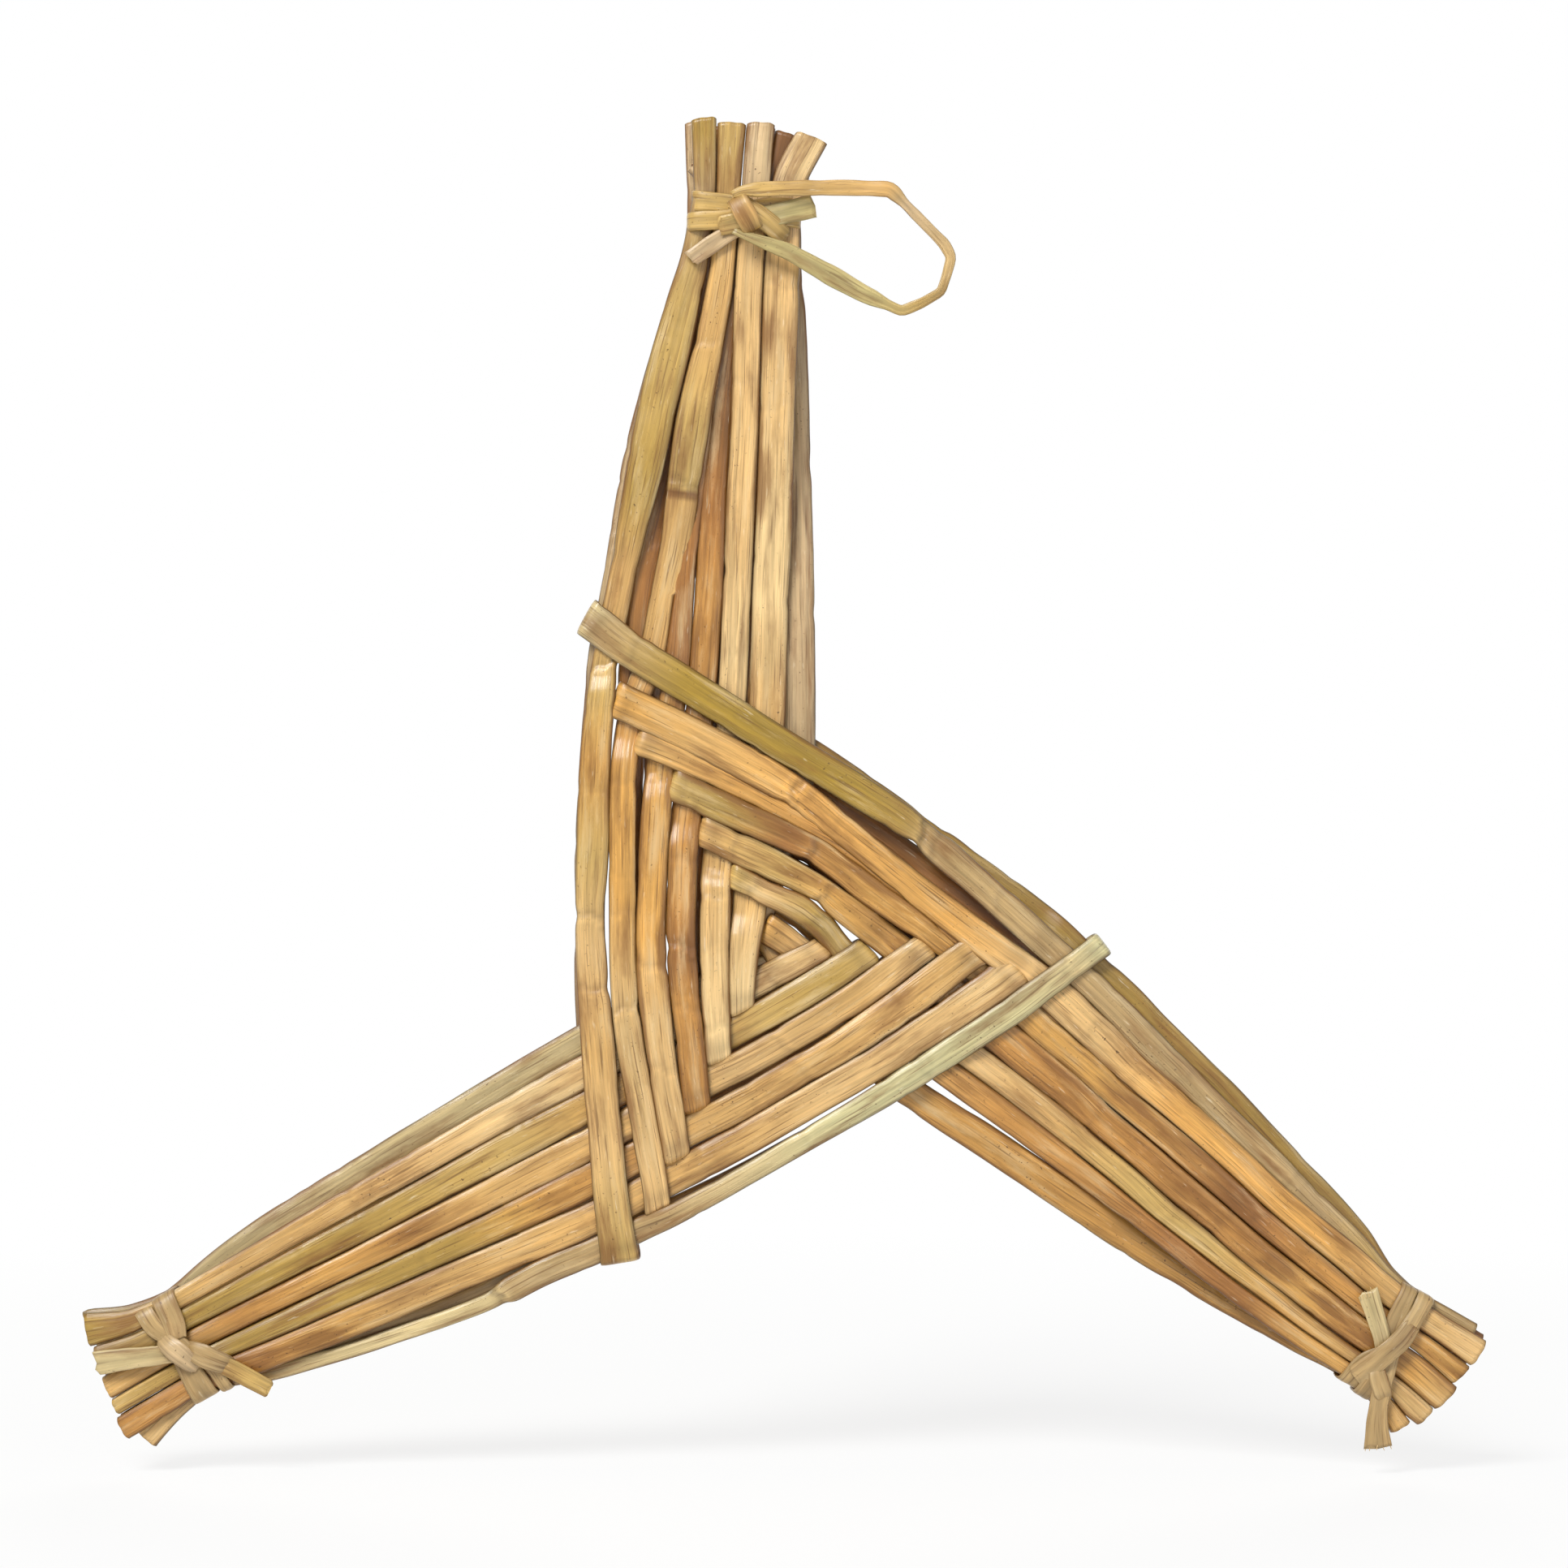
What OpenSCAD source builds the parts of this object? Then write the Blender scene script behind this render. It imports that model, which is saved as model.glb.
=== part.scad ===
// A three-armed Brigid cross, woven of dried rushes folded over each other and tied at the ends.
// The cross stands upright: Z runs up the top arm, X to the right, the front faces -Y.
// The origin is the centre of the weave on the wall plane, so the whole cross lies at Y below zero.

/* [Rushes] */
// Width of one flattened rush in the weave
rush_w = 6.2; // [5:0.1:7]
// Thickness of one flattened rush
rush_t = 1.7; // [1.2:0.1:2.2]
// Thickness of a rush where it is creased at its fold
fold_t = 0.45; // [0.3:0.05:0.5]
// Air between rushes that lie on each other
layer_gap = 0.15; // [0.1:0.05:0.4]
// Open slit between neighbouring rushes in the weave
slit = 0.75; // [0.7:0.05:1.5]
// Width of a rush where a tie squeezes it
neck_rush_w = 4.8; // [4:0.1:5.5]
// Air between the rushes squeezed side by side in a tie
neck_slit = 0.3; // [0.2:0.05:0.6]
// Width of a rush at its cut tip
tip_rush_w = 5.6; // [4.5:0.1:6]

/* [Arms] */
// Distance from the centre of the weave to the top tie
top_reach = 160; // [140:1:200]
// Distance from the centre of the weave to the right tie
right_reach = 157; // [140:1:200]
// Distance from the centre of the weave to the left tie
left_reach = 150; // [140:1:200]
// Length of the loose tips beyond a tie
tip_length = 18; // [13:1:28]
// How far the tips spread, as a share of their spacing in the tie
tip_splay = 1.25; // [1.2:0.05:1.5]

/* [Ties] */
// Width of the split-rush strip of a tie
tie_w = 4; // [3:0.1:5]
// Thickness of the strip of a tie
tie_t = 0.8; // [0.5:0.05:1.2]
// Air between the turns of a tie
turn_gap = 0.55; // [0.45:0.05:1]
// Air between a tie and the rushes that it holds
tie_clear = 0.25; // [0.15:0.05:0.5]
// Air between the knot and the strip under it
knot_seat = 0.1; // [0.05:0.05:0.3]

/* [Hanging loop] */
// Width of the strip of the hanging loop
loop_w = 3.6; // [2.5:0.1:4.5]
// Thickness of the strip of the hanging loop
loop_t = 0.9; // [0.6:0.05:1.2]
// Radius of the knot that the loop turns on
knot_r = 2.6; // [2:0.1:3.2]
// Air between the loop and the knot or tie
loop_clear = 0.35; // [0.25:0.05:0.6]

/* [Hidden] */

// The three arms in order: top, right, left. An arm has its own frame: u along it, v outwards, w to the front.
TOP = 0;
RIGHT = 1;
LEFT = 2;
arm_angle = [90, -30, 210];
reach = [top_reach, right_reach, left_reach];
rush_count = [6, 7, 6];
SIN60 = sin(60);

// Width of each rush against rush_w, from the outermost to the innermost
width_share = [
    [0.95, 0.8, 0.92, 0.97, 1, 0.95],
    [1.07, 0.95, 0.52, 0.98, 0.92, 0.71, 0.97],
    [0.87, 0.97, 1.08, 1.03, 0.95, 0.74]];
// Slit on the inner side of each rush against slit
slit_share = [
    [2, 1.3, 1, 1.2, 1],
    [1.2, 1, 1, 1, 1, 1],
    [2, 1.1, 1, 1.1, 1.4]];
// Distance from the centre of the weave to the inner edge of each arm's innermost rush
core_edge = [3, 1.5, 1.2];
// How far the rushes bow inwards at bow_at from the centre, on the fold side
bow = [5.5, 0, 4];
bow_at = 60;
// Sideways drift of each arm between the centre and the end of the weave, and its exponent
lean = [-5.6, -12.2, -2.7];
lean_power = 1.5;
// Length past the last crossing before an arm narrows
arm_margin = 4;
// Where the rushes have parted into two layers, as a share of the way to the tie, and how narrow they are there
split_share = 0.35;
split_narrow = 0.86;
// Sideways offset of each tie from the arm's line through the centre, and the drift of its tips
neck_v = [5.2, -5, 9];
tip_drift = [-1, -2.5, -2];
// Place of each rush in its tie, in columns from the middle
neck_slot = [
    [1.5, 0.5, 1, -0.9, -0.5, -1.5],
    [1.6, 2, 0.5, 1, 0, -1, -2],
    [1.7, 2, 1, 0, -1, -2]];
// Rushes that lie in the outer layer of a tie (1) or under it (0)
outer_layer = [
    [1, 1, 0, 0, 1, 1],
    [0, 1, 0, 1, 1, 1, 1],
    [0, 1, 1, 1, 1, 1]];
neck_share = [1.12, 1, 1];
// Length of each tip against tip_length
tip_share = [
    [1, 1.1, 0.95, 1, 1.1, 0.95],
    [0.8, 0.97, 0.72, 0.95, 0.92, 0.8, 0.65],
    [1.05, 1.2, 1.15, 1.15, 1.05, 0.95]];
// How far the back leg of a rush lies off its front leg at the end of the weave
back_shift = [
    [1.5, 0, 0, 0, 0, -6.5],
    [4.5, 0, 0, 0, 0, 0, -6],
    [0, 0, 0, 0, 0, -5.7]];
// Share of the weave's length over which a back leg takes its shift, and the share left where the layers part
shift_share = 0.6;
shift_left = 0.8;
// Slant of a fold along the rush it wraps: full inside the weave, little on the outermost rush
outer_slant = 0.4;
fold_clear = 0.1;
// Room kept before and after a crossing for the step between two layers
step_room = 0.5;

layer = rush_t + layer_gap;
low = layer / 2;
high = 1.5 * layer;
turn = tie_t + turn_gap;
neck_half_depth = high + rush_t / 2 + tie_clear;
tie_corner = 1.5;
tie_zone = tie_w + 1.5;
tie_cross = tie_w / 2 + 0.2;
wall = neck_half_depth + 1.5 * turn + tie_t;
knot_w = neck_half_depth + 2 * turn + tie_t + knot_seat;
knot_h = loop_t + 1.2;
loop_mid = neck_half_depth + 2 * turn + tie_t + loop_clear + loop_t / 2;
eye_r = knot_r + loop_clear + loop_w / 2;

// Flat section with rounded edges, as shares of half the width and half the thickness
section = [[1, -0.35], [1, 0.35], [0.72, 1], [-0.72, 1], [-1, 0.35], [-1, -0.35], [-0.72, -1], [0.72, -1]];

function unit(a) = a / norm(a);
function clamp01(x) = min(1, max(0, x));
function mix(a, b, s) = a + (b - a) * s;
function wrapped_arm(f) = (f + 2) % 3;
function wrapping_arm(f) = (f + 1) % 3;

// Point of an arm's own frame in the frame of the cross
function world(f, p) = let (c = cos(arm_angle[f]), s = sin(arm_angle[f]))
    [p[0] * c - p[1] * s, -(wall + p[2]), p[0] * s + p[1] * c];

// Place of each rush across the weave, counted up from the innermost
function width_of(f, i) = rush_w * width_share[f][i - 1];
function inner_edge(f, i) = i == rush_count[f] ? core_edge[f]
    : inner_edge(f, i + 1) + width_of(f, i + 1) + slit * slit_share[f][i - 1];
function seat(f, i) = inner_edge(f, i) + width_of(f, i) / 2;
function outer_edge(f, i) = inner_edge(f, i) + width_of(f, i);

// Distance from the centre at which an arm has left the weave
function arm_start(f) = (outer_edge(wrapping_arm(f), 1) + outer_edge(f, 1) / 2) / SIN60 + arm_margin;
// Sideways place at u of what lies at v0 level with the centre
function across(f, v0, u) = u < 0 ? v0 - bow[f] * u * u / (bow_at * bow_at)
    : v0 + lean[f] * pow(min(u / arm_start(f), 1), lean_power);
function shift_at(f, s, u) = s * pow(clamp01(u / arm_start(f) / shift_share), lean_power);
// Slope of the rushes of an arm at u past the centre
function slope_at(f, u) = lean[f] * lean_power * pow(clamp01(u / arm_start(f)), lean_power - 1) / arm_start(f);

// Where a line at a0 on arm f crosses a line at b0 on the arm it wraps: [u on f, u on the wrapped arm]
function meet(f, a0, b0, s = 0, q = undef, n = 5) = let (
    g = wrapped_arm(f),
    a = q == undef ? a0 : across(f, a0, q[0]),
    b = q == undef ? b0 : across(g, b0, q[1]) + shift_at(g, s, q[1]),
    r = [-(a / 2 + b) / SIN60, (a + b / 2) / SIN60])
    n == 0 ? r : meet(f, a0, b0, s, r, n - 1);

// The core rush of the right arm wraps nothing, and the outermost left rush wraps one more than its number
function is_core(f, i) = f == RIGHT && i == rush_count[RIGHT];
function first_wrapped(f, i) = f == LEFT && i > 1 ? i + 1 : i;
function inner_wrapper(f, i) = f == RIGHT ? max(1, i - 1) : i;
function fold_slant(i) = i == 1 ? outer_slant : 1;
// How far the edge that a rush folds round runs along the rush, for each step across it
function edge_run(f, i) = let (g = wrapped_arm(f), j = first_wrapped(f, i),
    m = slope_at(g, meet(f, seat(f, i), outer_edge(g, j))[1]))
    -(0.5 + SIN60 * m) / (SIN60 - 0.5 * m);

// Middle of a fold's wall at the rush's centre line
function fold_u(f, i) = is_core(f, i) ? -(core_edge[TOP] + core_edge[RIGHT] / 2) / SIN60 + fold_t + fold_clear
    : let (g = wrapped_arm(f), j = first_wrapped(f, i), s = max(0, back_shift[g][j - 1]))
    meet(f, seat(f, i), outer_edge(g, j), s)[0]
        + edge_run(f, i) * (1 - fold_slant(i)) * width_of(f, i) / 2 - fold_clear - fold_t / 2;
function fold_shear(f, i) = is_core(f, i) ? 0 : edge_run(f, i) * fold_slant(i);
// A rush lies high over what it wraps up to high_end, and low under what wraps it from low_start
function high_end(f, i) = let (g = wrapped_arm(f), n = rush_count[g])
    meet(f, inner_edge(f, i), core_edge[g], min(0, back_shift[g][n - 1]))[0] + step_room;
function low_start(f, i) = let (g = wrapping_arm(f))
    meet(g, inner_edge(g, inner_wrapper(f, i)), inner_edge(f, i))[1] - step_room;

function neck_w(f) = neck_rush_w * neck_share[f];
function neck_pitch(f) = neck_w(f) + neck_slit;
function neck_half(f) = max([for (s = neck_slot[f]) abs(s)]) * neck_pitch(f) + neck_w(f) / 2 + tie_clear;

// One leg of a rush from its fold to its tip, on the front (side 1) or the back (side -1):
// stations of [u, v, w, width, thickness, shear]
function leg(f, i, side) = let (
    wd = width_of(f, i),
    v0 = seat(f, i),
    s = side < 0 ? back_shift[f][i - 1] : 0,
    x = fold_u(f, i),
    k = fold_shear(f, i),
    top = is_core(f, i) ? low : high,
    u1 = arm_start(f),
    u3 = reach[f],
    u2 = mix(u1, u3, split_share),
    a = is_core(f, i) ? x + rush_w : high_end(f, i),
    b = is_core(f, i) ? x + 2 * rush_w : low_start(f, i),
    flat = x + min(0.8 * rush_w, (a - x) / 2),
    out = outer_layer[f][i - 1] == 1 ? high : low,
    mid1 = (across(f, seat(f, 1), u1) + across(f, seat(f, rush_count[f]), u1)) / 2,
    mid2 = mix(mid1, neck_v[f], split_share),
    v2 = mid2 + split_narrow * (across(f, v0, u1) + s * shift_left - mid1),
    v3 = neck_v[f] + neck_slot[f][i - 1] * neck_pitch(f),
    vt = neck_v[f] + tip_drift[f] + neck_slot[f][i - 1] * neck_pitch(f) * tip_splay,
    in_weave = [[flat, top, 0], [mix(flat, a, 0.35), top, 0], [mix(flat, a, 0.7), top, 0], [a, top, 0],
        [(a + b) / 2, (top + low) / 2, 0], [b, low, 0], [mix(b, u1, 0.35), low, 0], [mix(b, u1, 0.7), low, 0],
        [u1, low, 0]])
    concat(
        [[x, across(f, v0, x), side * top * 0.68, wd, fold_t, k],
            [x + 0.7 * fold_t, across(f, v0, x), side * top * 0.92, wd, fold_t * 1.3, k],
            [x + 0.8 * rush_t, across(f, v0, x), side * top, wd, mix(fold_t, rush_t, 0.5), k]],
        [for (q = in_weave) [q[0], across(f, v0, q[0]) + shift_at(f, s, q[0]), side * q[1], wd, rush_t, 0]],
        [[u2, v2, side * out, wd * split_narrow, rush_t, 0],
            [u3 - tie_zone, v3, side * out, neck_w(f), rush_t, 0],
            [u3 + tie_zone, v3, side * out, neck_w(f), rush_t, 0],
            [u3 + tip_length * tip_share[f][i - 1], vt, side * out, tip_rush_w, rush_t, 0]]);

function reversed(a) = [for (k = [len(a) - 1 : -1 : 0]) a[k]];
function fold(f, i) = let (x = fold_u(f, i))
    [[x, across(f, seat(f, i), x), 0, width_of(f, i), fold_t, fold_shear(f, i)]];
// A whole rush from its front tip, round its fold, to its back tip
function rush_stations(f, i) = concat(reversed(leg(f, i, 1)), fold(f, i), leg(f, i, -1));

function head3(a) = [a[0], a[1], a[2]];
function along(a, k) = unit(a[min(k + 1, len(a) - 1)] - a[max(k - 1, 0)]);

// Rings of points of a rush: the width lies across the arm, the thickness square to the path
function rush_rings(f, st) = let (path = [for (q = st) head3(q)])
    [for (k = [0 : len(st) - 1]) let (
        t = along(path, k),
        side = unit([0, 1, 0] - t * t[1]),
        up = cross(t, side),
        q = st[k])
        [for (c = section) let (d = c[0] * q[3] / 2)
            world(f, path[k] + side * d + up * (c[1] * q[4] / 2) + [q[5] * d, 0, 0])]];

// Closed skin over a row of rings
module skin(rings) {
    m = len(rings[0]);
    n = len(rings);
    sides = [for (k = [0 : n - 2], j = [0 : m - 1]) each [
        [k * m + j, (k + 1) * m + j, (k + 1) * m + (j + 1) % m],
        [k * m + j, (k + 1) * m + (j + 1) % m, k * m + (j + 1) % m]]];
    near = [for (j = [1 : m - 2]) [0, j, j + 1]];
    far = [for (j = [1 : m - 2]) [(n - 1) * m, (n - 1) * m + j + 1, (n - 1) * m + j]];
    polyhedron(points = [for (r = rings) each r], faces = concat(near, sides, far));
}

// The strip of a tie: from its first tail over the front, twice round the neck, over the front again to its second tail.
// Tails end at [v, u] from the middle of the tie.
first_tail = [[12, -9.5], [8, -10], [16, -11]];
second_tail = [[-15, 2], [-19, 9], [-7, 18]];
turns = 2;
ring_steps = 24;
// Height over the neck rises by half a turn's height along each side, so the front and back stretches lie flat
function wind_rise(j) = turn / 2 * sum_ramps(j, 4 * turns / 2);
function sum_ramps(j, n) = n == 0 ? 0 : clamp01((j - 12 * n + 7) / 2) + sum_ramps(j, n - 1);
// The strip swaps sides across the front, and keeps its side round the back
function wind_shift(j) = let (h = (j + 6) % ring_steps, odd = floor((j + 6) / ring_steps) % 2)
    h > 12 ? (odd == 0 ? 1 : -1) * tie_cross : (odd == 0 ? 1 : -1) * mix(-tie_cross, tie_cross, h / 12);
// Point and outward normal of station j round a neck of half width hv
function wind(f, j) = let (
    hv = neck_half(f),
    q = floor(j / 6),
    k = j % 6,
    ang = 90 * q + (k < 1 ? 0 : (k - 1) * 22.5),
    nv = -sin(ang),
    nw = cos(ang),
    cv = k == 0 && q % 2 == 0 ? 0 : (q % 4 < 2 ? -1 : 1) * (hv - tie_corner),
    cw = k == 0 && q % 2 == 1 ? 0 : (q % 4 == 0 || q % 4 == 3 ? 1 : -1) * (neck_half_depth - tie_corner),
    r = tie_corner + tie_t / 2 + wind_rise(j))
    [[wind_shift(j), cv + r * nv, cw + r * nw], [0, nv, nw]];
// Tail from the middle of the front to its end, at the given height
function tail(end, h) = [for (s = [0.25, 0.5, 0.75, 1]) [[end[1] * s, end[0] * s, neck_half_depth + tie_t / 2 + h], [0, 0, 1]]];
function tie_path(f) = concat(reversed(tail(first_tail[f], 0)),
    [for (j = [0 : turns * ring_steps]) wind(f, j)],
    tail(second_tail[f], turns * turn));
function tie_rings(f) = let (st = tie_path(f), path = [for (q = st) q[0]])
    [for (k = [0 : len(st) - 1]) let (
        up = st[k][1],
        t0 = along(path, k),
        t = unit(t0 - up * (t0 * up)),
        side = cross(up, t))
        [for (c = section)
            path[k] + side * (c[0] * tie_w / 2) + up * (c[1] * tie_t / 2)]];
// Least gap of a strip to itself, between points of rings that are not neighbours
function least_gap(rings, apart) = min([for (a = [0 : len(rings) - 1], b = [a + apart : 1 : len(rings) - 1])
    min([for (p = rings[a], q = rings[b]) norm(p - q)])]);

// The hanging loop lies flat in front of the tie: an eye round the knot, then its legs by hand, [x, z] from the knot
loop_legs = [[4, 5], [11, 5.1], [21, 5.2], [29, 5], [31.5, 4], [36.5, -1.5], [42, -7.5], [43.6, -10],
    [42.8, -13.5], [41, -16.8], [37, -19.4], [33, -21], [25, -17.8], [17.5, -13.9], [9, -9.7]];
loop_eye_start = [155, 125, 95];
loop_eye_end = [243, 225, 205];
function eye(a) = eye_r * [cos(a), sin(a)];
loop_path = concat([for (a = loop_eye_start) eye(a)], loop_legs, [for (a = loop_eye_end) eye(a)]);
knot_at = world(TOP, [reach[TOP], neck_v[TOP], 0]);
function loop_rings() = [for (k = [0 : len(loop_path) - 1]) let (
    t = along(loop_path, k),
    side = [-t[1], t[0]])
    [for (c = section) let (p = loop_path[k] + side * (c[0] * loop_w / 2))
        [knot_at[0] + p[0], -(wall + loop_mid + c[1] * loop_t / 2), knot_at[2] + p[1]]]];

tan_straw = [0.8, 0.66, 0.44];
pale_straw = [0.84, 0.72, 0.5];
orange_straw = [0.78, 0.58, 0.34];
brown_straw = [0.62, 0.43, 0.24];
olive_straw = [0.64, 0.56, 0.34];
green_straw = [0.6, 0.57, 0.36];
pale_green = [0.74, 0.7, 0.5];
top_colours = [olive_straw, tan_straw, orange_straw, brown_straw, pale_straw, pale_straw];
right_colours = [green_straw, orange_straw, tan_straw, brown_straw, tan_straw, olive_straw, tan_straw];
left_colours = [pale_green, tan_straw, tan_straw, orange_straw, olive_straw, pale_straw];

module top_rush(i) {
    color(top_colours[i - 1])
        skin(rush_rings(TOP, rush_stations(TOP, i)));
}

module right_rush(i) {
    color(right_colours[i - 1])
        skin(rush_rings(RIGHT, rush_stations(RIGHT, i)));
}

module left_rush(i) {
    color(left_colours[i - 1])
        skin(rush_rings(LEFT, rush_stations(LEFT, i)));
}

module tie(f) {
    rings = tie_rings(f);
    echo(str("least gap of the tie of arm ", f, " to itself: ", least_gap(rings, 8), " mm"));
    color(tan_straw)
        skin([for (r = rings) [for (p = r) world(f, p + [reach[f], neck_v[f], 0])]]);
}

module top_tie() {
    tie(TOP);
}

module right_tie() {
    tie(RIGHT);
}

module left_tie() {
    tie(LEFT);
}

module top_knot() {
    color(pale_straw)
        translate([knot_at[0], -(wall + knot_w), knot_at[2]])
            rotate([90, 0, 0])
                cylinder(r = knot_r, h = knot_h, $fn = 48);
}

module hanging_loop() {
    color(pale_green)
        skin(reversed(loop_rings()));
}

top_rush(1);  // top_rush_1
top_rush(2);  // top_rush_2
top_rush(3);  // top_rush_3
top_rush(4);  // top_rush_4
top_rush(5);  // top_rush_5
top_rush(6);  // top_rush_6
right_rush(1);  // right_rush_1
right_rush(2);  // right_rush_2
right_rush(3);  // right_rush_3
right_rush(4);  // right_rush_4
right_rush(5);  // right_rush_5
right_rush(6);  // right_rush_6
right_rush(7);  // right_rush_7
left_rush(1);  // left_rush_1
left_rush(2);  // left_rush_2
left_rush(3);  // left_rush_3
left_rush(4);  // left_rush_4
left_rush(5);  // left_rush_5
left_rush(6);  // left_rush_6
top_tie();
right_tie();
left_tie();
top_knot();
hanging_loop();
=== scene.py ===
"""A three-armed Brigid cross: pressed rushes folded over each other, split-rush ties and a hanging loop.

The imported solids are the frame. Each rush, tie, knot and loop is rebuilt here as a surface along the same
route, with its dents, creases, cut tips and fibres.
"""
import math

import bpy
import numpy as np
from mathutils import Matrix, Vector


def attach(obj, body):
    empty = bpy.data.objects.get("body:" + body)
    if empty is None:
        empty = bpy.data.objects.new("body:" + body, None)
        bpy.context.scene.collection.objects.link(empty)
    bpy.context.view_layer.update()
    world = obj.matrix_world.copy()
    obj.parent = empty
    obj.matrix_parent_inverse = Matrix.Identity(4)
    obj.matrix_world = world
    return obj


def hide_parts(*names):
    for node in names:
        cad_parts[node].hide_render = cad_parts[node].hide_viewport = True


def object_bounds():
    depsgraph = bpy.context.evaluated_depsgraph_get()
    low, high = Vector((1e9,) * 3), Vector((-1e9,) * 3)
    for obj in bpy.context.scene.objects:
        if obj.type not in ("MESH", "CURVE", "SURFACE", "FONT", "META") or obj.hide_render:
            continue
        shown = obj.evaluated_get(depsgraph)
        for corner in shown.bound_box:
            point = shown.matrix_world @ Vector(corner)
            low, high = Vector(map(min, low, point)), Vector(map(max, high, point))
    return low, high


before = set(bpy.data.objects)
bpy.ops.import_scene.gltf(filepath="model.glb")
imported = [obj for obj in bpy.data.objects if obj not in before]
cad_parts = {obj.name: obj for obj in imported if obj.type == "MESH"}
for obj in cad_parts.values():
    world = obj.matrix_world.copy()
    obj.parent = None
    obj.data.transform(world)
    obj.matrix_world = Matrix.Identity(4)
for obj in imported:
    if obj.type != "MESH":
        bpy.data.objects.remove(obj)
CAD_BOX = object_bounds()

bl_info = {
    "name": "Brigid cross of rushes",
    "version": (1, 0, 0),
    "blender": (4, 5, 0),
    "location": "View3D > Sidebar > Brigid cross",
    "description": "Weaves a three-armed cross of pressed rushes with tied ends and a hanging loop",
    "category": "Add Mesh",
}

MM = 0.001
SIN60 = math.sin(math.pi / 3)
# to the front, in an arm's own frame
TO_FRONT = np.array([0.0, 0.0, 1.0])

# The arms in order: top, right, left. In an arm's own frame, in mm, u runs along it, v outwards and w to the
# front.
ARMS = ("top", "right", "left")
ARM_ANGLE = (90.0, -30.0, 210.0)
# u of each tie, and the middle and the half width of the neck in it
REACH = (160.0, 157.0, 150.0)
NECK_V = (5.9, -4.9, 9.6)
NECK_HALF = (10.4, 11.8, 11.2)
# u where the weave ends, and where the rushes of the arm have parted into two layers
ARM_START = (79.0, 77.0, 77.0)
SPLIT = (108.0, 105.0, 102.0)

# Layers of the weave: rushes lie at half a layer or one and a half layers from the middle plane, where w is 0
LAYER = 1.85
LOW = LAYER / 2
HIGH = 1.5 * LAYER
# from the middle plane back to the wall, and to the face of the rushes in a neck
WALL = 6.7
NECK_DEPTH = 3.875
# the strip of a tie
STRIP_T = 0.8
TIE_WIDTH = 4.6
# u, and how far a back leg drifts inwards there, so that it lies behind the gap to the next rush
BACK_DRIFT = ((-25, 0, 60, 130, 160), (0, 1.3, 2.6, 1.3, 0))
# painted shade: the backs are a little darker than the faces
BACK_SHADE = (0.86, 0.84, 0.82)

# The colours of dried rush, from bleached to stained
PALETTE = {
    "bone": "#e8c68c", "straw": "#dfb678", "sand": "#d4a764", "honey": "#d29d50", "amber": "#e0a757",
    "tan": "#c28b45", "brown": "#a87238", "umber": "#7c5226", "olive": "#c6a35e", "moss": "#b08e42",
    "sage": "#b99a68", "reed": "#d4be8a", "willow": "#bcab72", "oat": "#d2b488", "sedge": "#cfc592",
    "fern": "#a4842e",
}

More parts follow.
